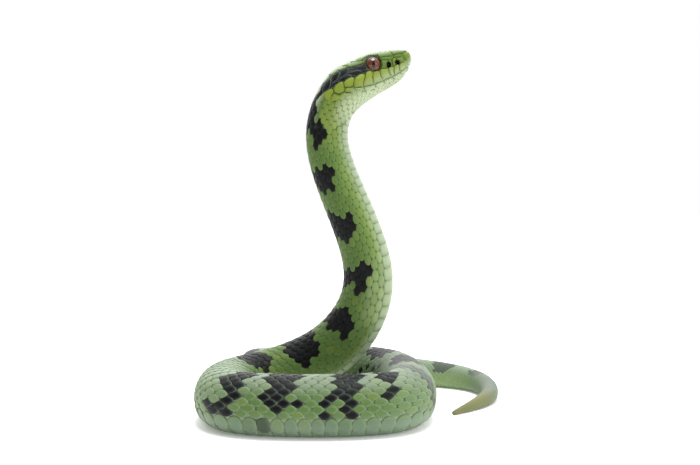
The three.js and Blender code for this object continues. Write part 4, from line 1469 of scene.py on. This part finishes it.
def with_pale_rims(f, at, green):
    """Each scale's hind rim is paler, most of all on the loop."""
    neck_rim = f.mix(at.head * (1 - at.crown), srgb(118, 138, 82), srgb(84, 104, 48))
    pale_rim = f.mix(at.coil, neck_rim, srgb(122, 142, 108))
    return f.mix(at.rim * (0.4 + 0.4 * at.coil), green, pale_rim)


print(len(NECK_GREENS), "greens on the neck and", len(COIL_GREENS), "on the loop")


# %% The blacks
def band_black(f, at):
    """Nearly black, with greyer rims on the scales, and a painted sheen where the loop's right end bulges."""
    black = f.mix(f.between(f.noise(4), 0.35, 0.7), srgb(5, 6, 6), srgb(14, 16, 15))
    grey = f.mix(at.coil, f.mix(at.head, srgb(38, 44, 42), srgb(56, 64, 62)), srgb(76, 84, 78))
    stripe = f.under(at.along, 38, 44) * 0.8
    # Painted sheen: the black turns grey where the loop's right end bulges.
    black_sheen = f.stretch(at.along, 295, 300, 309, 314)
    return f.shaded(black, [
        (at.rim * (0.35 + 0.3 * at.coil), grey),
        (f.between(at.rim, 0.62, 1.0) * stripe, srgb(88, 97, 95)),
        (f.between(at.rim, 0.55, 1.0) * at.coil * 0.6, srgb(112, 122, 112)),
        (black_sheen * 0.65, srgb(92, 102, 88))])


print("bands reach from", BLOTCHES[0][0][0], "mm to", BANDS[-1][1], "mm")

# %% Between the scales, and the tail
BROWN_TIP = (566, 586)  # where the tail turns brown


def green_gap(f, at):
    """The skin that shows between green scales: pale on belly, throat and loop, and on the loop lifted
    further as painted light against the shade in the gaps.
    """
    belly = f.between(at.around, 0.66, 0.76)
    throat = f.between(at.around, 0.5, 0.66) * at.head
    head_gap = f.mix(at.crown, srgb(80, 100, 42), srgb(110, 130, 88))
    neck_gap = f.mix(at.head, srgb(66, 88, 42), head_gap)
    upper_gap = f.mix(throat + belly - throat * belly, neck_gap, srgb(136, 154, 108))
    # On the loop the pale skin is lifted further: painted light against the shade between the scales.
    return f.mix(at.coil, upper_gap, srgb(138, 155, 130))


def black_gap(f, at):
    """The skin that shows between black scales."""
    upper_gap = f.mix(at.head, srgb(42, 48, 46), srgb(40, 46, 44))
    return f.mix(at.coil, upper_gap, srgb(88, 97, 91))


def tail_green(f, at, green):
    """The tail is paler, and greyer towards its tip."""
    pale = f.mix(f.between(at.around, 0.3, 0.6), srgb(132, 150, 122), srgb(146, 168, 112))
    share = at.tail * (0.6 - 0.5 * f.between(at.along, 525, 560))
    return f.shaded(green, [(share, pale), (at.pale_end * 0.6, srgb(106, 117, 100))])


def tail_black(f, at, black):
    """The bands fade towards the tip."""
    return f.shaded(black, [(at.tail * 0.85, srgb(88, 97, 86)), (at.pale_end, srgb(112, 122, 110))])


def brown_tip(f, at, colour):
    """The last stretch is brown with olive streaks."""
    streaks = f.mix(f.between(f.noise(6), 0.4, 0.6), srgb(128, 114, 82), srgb(116, 120, 76))
    return f.mix(f.between(at.along, *BROWN_TIP) * 0.85, colour, streaks)


print("the brown tip is the last", round(LENGTH - BROWN_TIP[0]), "mm")

# %% The whole finish
DARKER, LIGHTER = (0.72, 0.72, 0.72), (1.28, 1.28, 1.28)  # what the mottling multiplies by
BUMP_DEPTH = 0.0001  # metres


def scaled_skin():
    """Greens and blacks, each with its gaps, joined by what is dark, then mottled and roughened."""
    f = Finish(bpy.data.materials.new("scaled_skin"))
    at = Spot(f)
    green = with_pale_rims(f, at, head_green(f, at, body_green(f, at)))
    green = tail_green(f, at, f.mix(at.gap, green, green_gap(f, at)))
    black = tail_black(f, at, f.mix(at.gap, band_black(f, at), black_gap(f, at)))
    colour = brown_tip(f, at, f.mix(at.dark, green, black))
    mottle = f.noise(0.9, 3)
    f.feed(f.surface["Base Color"], f.mix(0.35, colour, f.mix(mottle, DARKER, LIGHTER), "MULTIPLY"))
    f.feed(f.surface["Roughness"], 0.42 + 0.12 * mottle)
    grain = {"Strength": 0.2, "Distance": BUMP_DEPTH, "Height": f.noise(0.4)}
    f.feed(f.surface["Normal"], f.node("ShaderNodeBump", {}, grain))
    f.surface["Specular IOR Level"].default_value = 0.13
    return f.material


skin_finish = scaled_skin()
for piece in (skin, *coat):
    piece.data.materials.append(skin_finish)
print("pieces with the finish:", len(coat) + 1)

# %% [markdown]
# ## Cutting the hollows
# A cut makes new points round each opening, and a Boolean can't know what they should carry.
# Left alone they would take the colours of the snout's tip, as a pale edge. So the values are
# read before the cuts, and afterwards every point takes those of the nearest point from then.


# %% Cut the skin and carry its values over
def cut_away(piece, cutter):
    """Takes the cutter's shape out of the piece, and the cutter's finish onto the new walls."""
    deselect_all()
    piece.select_set(True)
    bpy.context.view_layer.objects.active = piece
    knife = piece.modifiers.new("hollow", "BOOLEAN")
    knife.operation, knife.solver, knife.object = "DIFFERENCE", "EXACT", cutter
    knife.material_mode = "TRANSFER"
    bpy.ops.object.modifier_apply(modifier=knife.name)


def read_values(mesh):
    """What the finish reads, for every point."""
    found = {}
    for name in VALUES:
        found[name] = np.empty(len(mesh.vertices), np.float32)
        mesh.attributes[name].data.foreach_get("value", found[name])
    return found


def carry_values(mesh, spots, values):
    """Gives each point the values of the nearest of the spots."""
    tree = KDTree(len(spots))
    for index, spot in enumerate(spots):
        tree.insert(spot, index)
    tree.balance()
    nearest = np.array([tree.find(vertex.co)[1] for vertex in mesh.vertices])
    for name, kept in values.items():
        mesh.attributes[name].data.foreach_set("value", kept[nearest])


spots_before = [vertex.co.copy() for vertex in skin.data.vertices]
values_before = read_values(skin.data)
for cutter in cutters:
    cut_away(skin, cutter)
    bpy.data.objects.remove(cutter)
carry_values(skin.data, spots_before, values_before)
print("skin after the cuts:", len(skin.data.polygons), "faces, slots", [m.name for m in skin.data.materials])

# %% [markdown]
# ## The eyes
# A viper's eye is a wet ball under a clear scale, with an upright slit for a pupil. The ball
# is smooth, and its pattern is worked out by the finish from the distance to the eye's own
# axis, so no picture is needed. A thin ring of painted shade, nearly black, closes the gap
# to the socket, and the half of the ball inside the socket is painted nearly black as shade.

# %% Eyeballs and their rings
RING_RADIUS, RING_THICKNESS, RING_OUT = 3.2, 0.3, 1.2


def add_ring(name, centre, normal):
    """A thin torus that lies on the cheek round the eye."""
    deselect_all()
    bpy.ops.mesh.primitive_torus_add(major_radius=RING_RADIUS, minor_radius=RING_THICKNESS,
                                     major_segments=64, minor_segments=12)
    ring = bpy.context.object
    ring.name = name
    turn = np.array(Vector(normal).to_track_quat("Z", "Y").to_matrix())
    set_points(ring.data, (points_of(ring) @ turn.T + centre + RING_OUT * normal) * MM)
    bpy.ops.object.shade_smooth()
    return ring


eyes = []
for side, name in ((1, "left"), (-1, "right")):
    centre, normal = eye_axis(side)
    ball = add_ball("eyeball_" + name, centre, (EYE_RADIUS,) * 3, 64, 40)
    eyes.append((side, centre, ball, add_ring("eye_ring_" + name, centre, normal)))
print("eye out to", round(float(np.abs(eyes[0][1][1]) + EYE_RADIUS), 2), "mm from the middle")

# %% The finish of an eye
SLIT_WIDE, SLIT_TALL = 0.18, 0.6  # half sizes of the pupil, as shares of the eye's radius
SIGHT_FORWARD, SIGHT_UP = 0.1, 0.02  # how far the sight turns from straight out
# The back of the ball, inside the socket, is nearly black: painted shade.
PUPIL_BLACK, BACK_OF_EYE_SHADE = (0.004, 0.004, 0.004), (0.01, 0.008, 0.006)


def iris_colour(f, r, slit):
    """Dark brown with flecks, darker at its border and lighter round the slit."""
    fleck, streak = f.noise(0.4, 3), f.noise(0.9, 2)
    iris = f.mix(f.between(fleck, 0.35, 0.65), srgb(44, 22, 10), srgb(98, 50, 24))
    return f.shaded(iris, [
        (f.between(streak, 0.45, 0.75) * 0.5, srgb(138, 76, 38)),
        (f.between(r, 0.72, 0.92) * 0.6, srgb(52, 26, 12)),
        (f.under(slit, 1.0, 1.35) * 0.4, srgb(158, 88, 46))])


def eye_finish(name, side, centre):
    """A wet iris with an upright slit, found from the place on the ball."""
    f = Finish(bpy.data.materials.new(name))
    place = f.node("ShaderNodeTexCoord", output=3)
    offset = f.node("ShaderNodeVectorMath", {"operation": "SUBTRACT"}, {0: place, 1: tuple(centre * MM)})
    sight = unit(np.array([SIGHT_FORWARD, side, SIGHT_UP]))
    across = unit(np.cross(np.array([-0.04, 0, 1.0]), sight))
    x, y, out = [f.part_along(offset, axis) * (1 / (EYE_RADIUS * MM))
                 for axis in (across, np.cross(sight, across), sight)]
    r = (x * x + y * y).root()
    wide, tall = x * (1 / SLIT_WIDE), y * (1 / SLIT_TALL)
    slit = (wide * wide + tall * tall).root()  # 1 on the pupil's edge
    colour = f.mix(f.under(slit, 0.9, 1.1), iris_colour(f, r, slit), PUPIL_BLACK)
    colour = f.mix(f.between(out, 0.1, -0.1), colour, BACK_OF_EYE_SHADE)
    f.feed(f.surface["Base Color"], colour)
    gloss = {"Roughness": 0.12, "Coat Weight": 1.0, "Coat Roughness": 0.03, "Coat IOR": 1.38,
             "Specular IOR Level": 0.1}
    for socket, value in gloss.items():
        f.surface[socket].default_value = value
    return f.material


# Nearly black: painted shade in the groove round the eye.
ring_shade_finish = plain("eye_ring", srgb(14, 17, 13), 0.6).material
for side, centre, ball, ring in eyes:
    ball.data.materials.append(eye_finish("wet_eye_left" if side > 0 else "wet_eye_right", side, centre))
    ring.data.materials.append(ring_shade_finish)
print("finishes:", [material.name for material in bpy.data.materials])

# %% [markdown]
# ## Which solids the pieces stand for
# The one skin covers all the solids of the body, so it replaces them together, and each
# eyeball replaces its own solid. Everything rides on the one body, because a still has no
# moving part.

# %% Replace and ride
for side, centre, ball, ring in eyes:
    node = "eye_left" if side > 0 else "eye_right"
    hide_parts(node)
    for piece, slot in ((ball, "eye"), (ring, "skin")):
        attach(piece, "root")

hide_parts(*FLESH)
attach(skin, "root")
for piece in coat:
    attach(piece, "root")
print("pieces that ride:", len(coat) + 1 + 2 * len(eyes))

# %% [markdown]
# ## Floor, light and camera
# The animal lies on a pale floor in a bright room. Most of the light comes softly from all
# round, stronger from above and behind, so its edges glow a little. Two soft boxes give the
# scales their shine: a strong one overhead and a weaker one at the front right. What the
# camera sees of the room is plain white.

# %% Floor and surrounding light
deselect_all()
bpy.ops.mesh.primitive_plane_add(size=30, location=(0, 0, 0))
floor = bpy.context.object
floor.name = "floor"
paper = plain("pale_paper", (0.93, 0.93, 0.93), 0.9)
paper.surface["Emission Color"].default_value = (1, 1, 1, 1)
paper.surface["Emission Strength"].default_value = 0.18
floor.data.materials.append(paper.material)
world = bpy.data.worlds.new("studio")
bpy.context.scene.world = world
sky = Finish(world)


def glow_from(direction, low, high):
    """1 where the sky lies in a direction and 0 away from it."""
    view = sky.node("ShaderNodeTexCoord", output=0)
    return sky.between(sky.part_along(view, unit(np.array(direction))), low, high)


overhead = 0.9 * glow_from([0.15, 0.45, 0.85], -0.5, 0.95)
behind = 2.0 * glow_from([0.0, 0.9, 0.42], 0.6, 0.95)
glow = 0.14 + overhead + behind
seen = sky.node("ShaderNodeLightPath", output=0)
sky.surface["Color"].default_value = (1, 1, 1, 1)
sky.feed(sky.surface["Strength"], glow + seen * (1.0 - glow))
print("floor of", floor.dimensions.x, "m")


# %% Soft boxes and the camera
def soft_box(name, place, target, size, watts):
    """A square lamp that faces its target; places and size in metres."""
    deselect_all()
    bpy.ops.object.light_add(type="AREA", location=place)
    lamp = bpy.context.object
    lamp.name = name
    lamp.data.size = size
    lamp.data.energy = watts
    aim = Vector(target) - Vector(place)
    lamp.rotation_euler = aim.to_track_quat("-Z", "Y").to_euler()


soft_box("overhead", (0.03, -0.08, 0.62), (0, 0, 0.08), 0.3, 3.6)
soft_box("front_right", (0.55, -0.5, 0.35), (0, 0, 0.07), 0.4, 1.5)
CAMERA_DISTANCE, CAMERA_HEIGHT, CAMERA_DIP = 400, 81, 1.17  # millimetres, millimetres, degrees
bpy.ops.object.camera_add(location=(-MIDDLE[0] * MM, (-CAMERA_DISTANCE - MIDDLE[1]) * MM, CAMERA_HEIGHT * MM))
camera = bpy.context.object
camera.rotation_euler = (math.radians(90 - CAMERA_DIP), 0, 0)
camera.data.lens = 51.43
camera.data.sensor_width = 36
camera.data.clip_start = 0.01
bpy.context.scene.camera = camera
bpy.context.scene.view_settings.view_transform = "Standard"
print("camera at", [round(v, 3) for v in camera.location])

# %% [markdown]
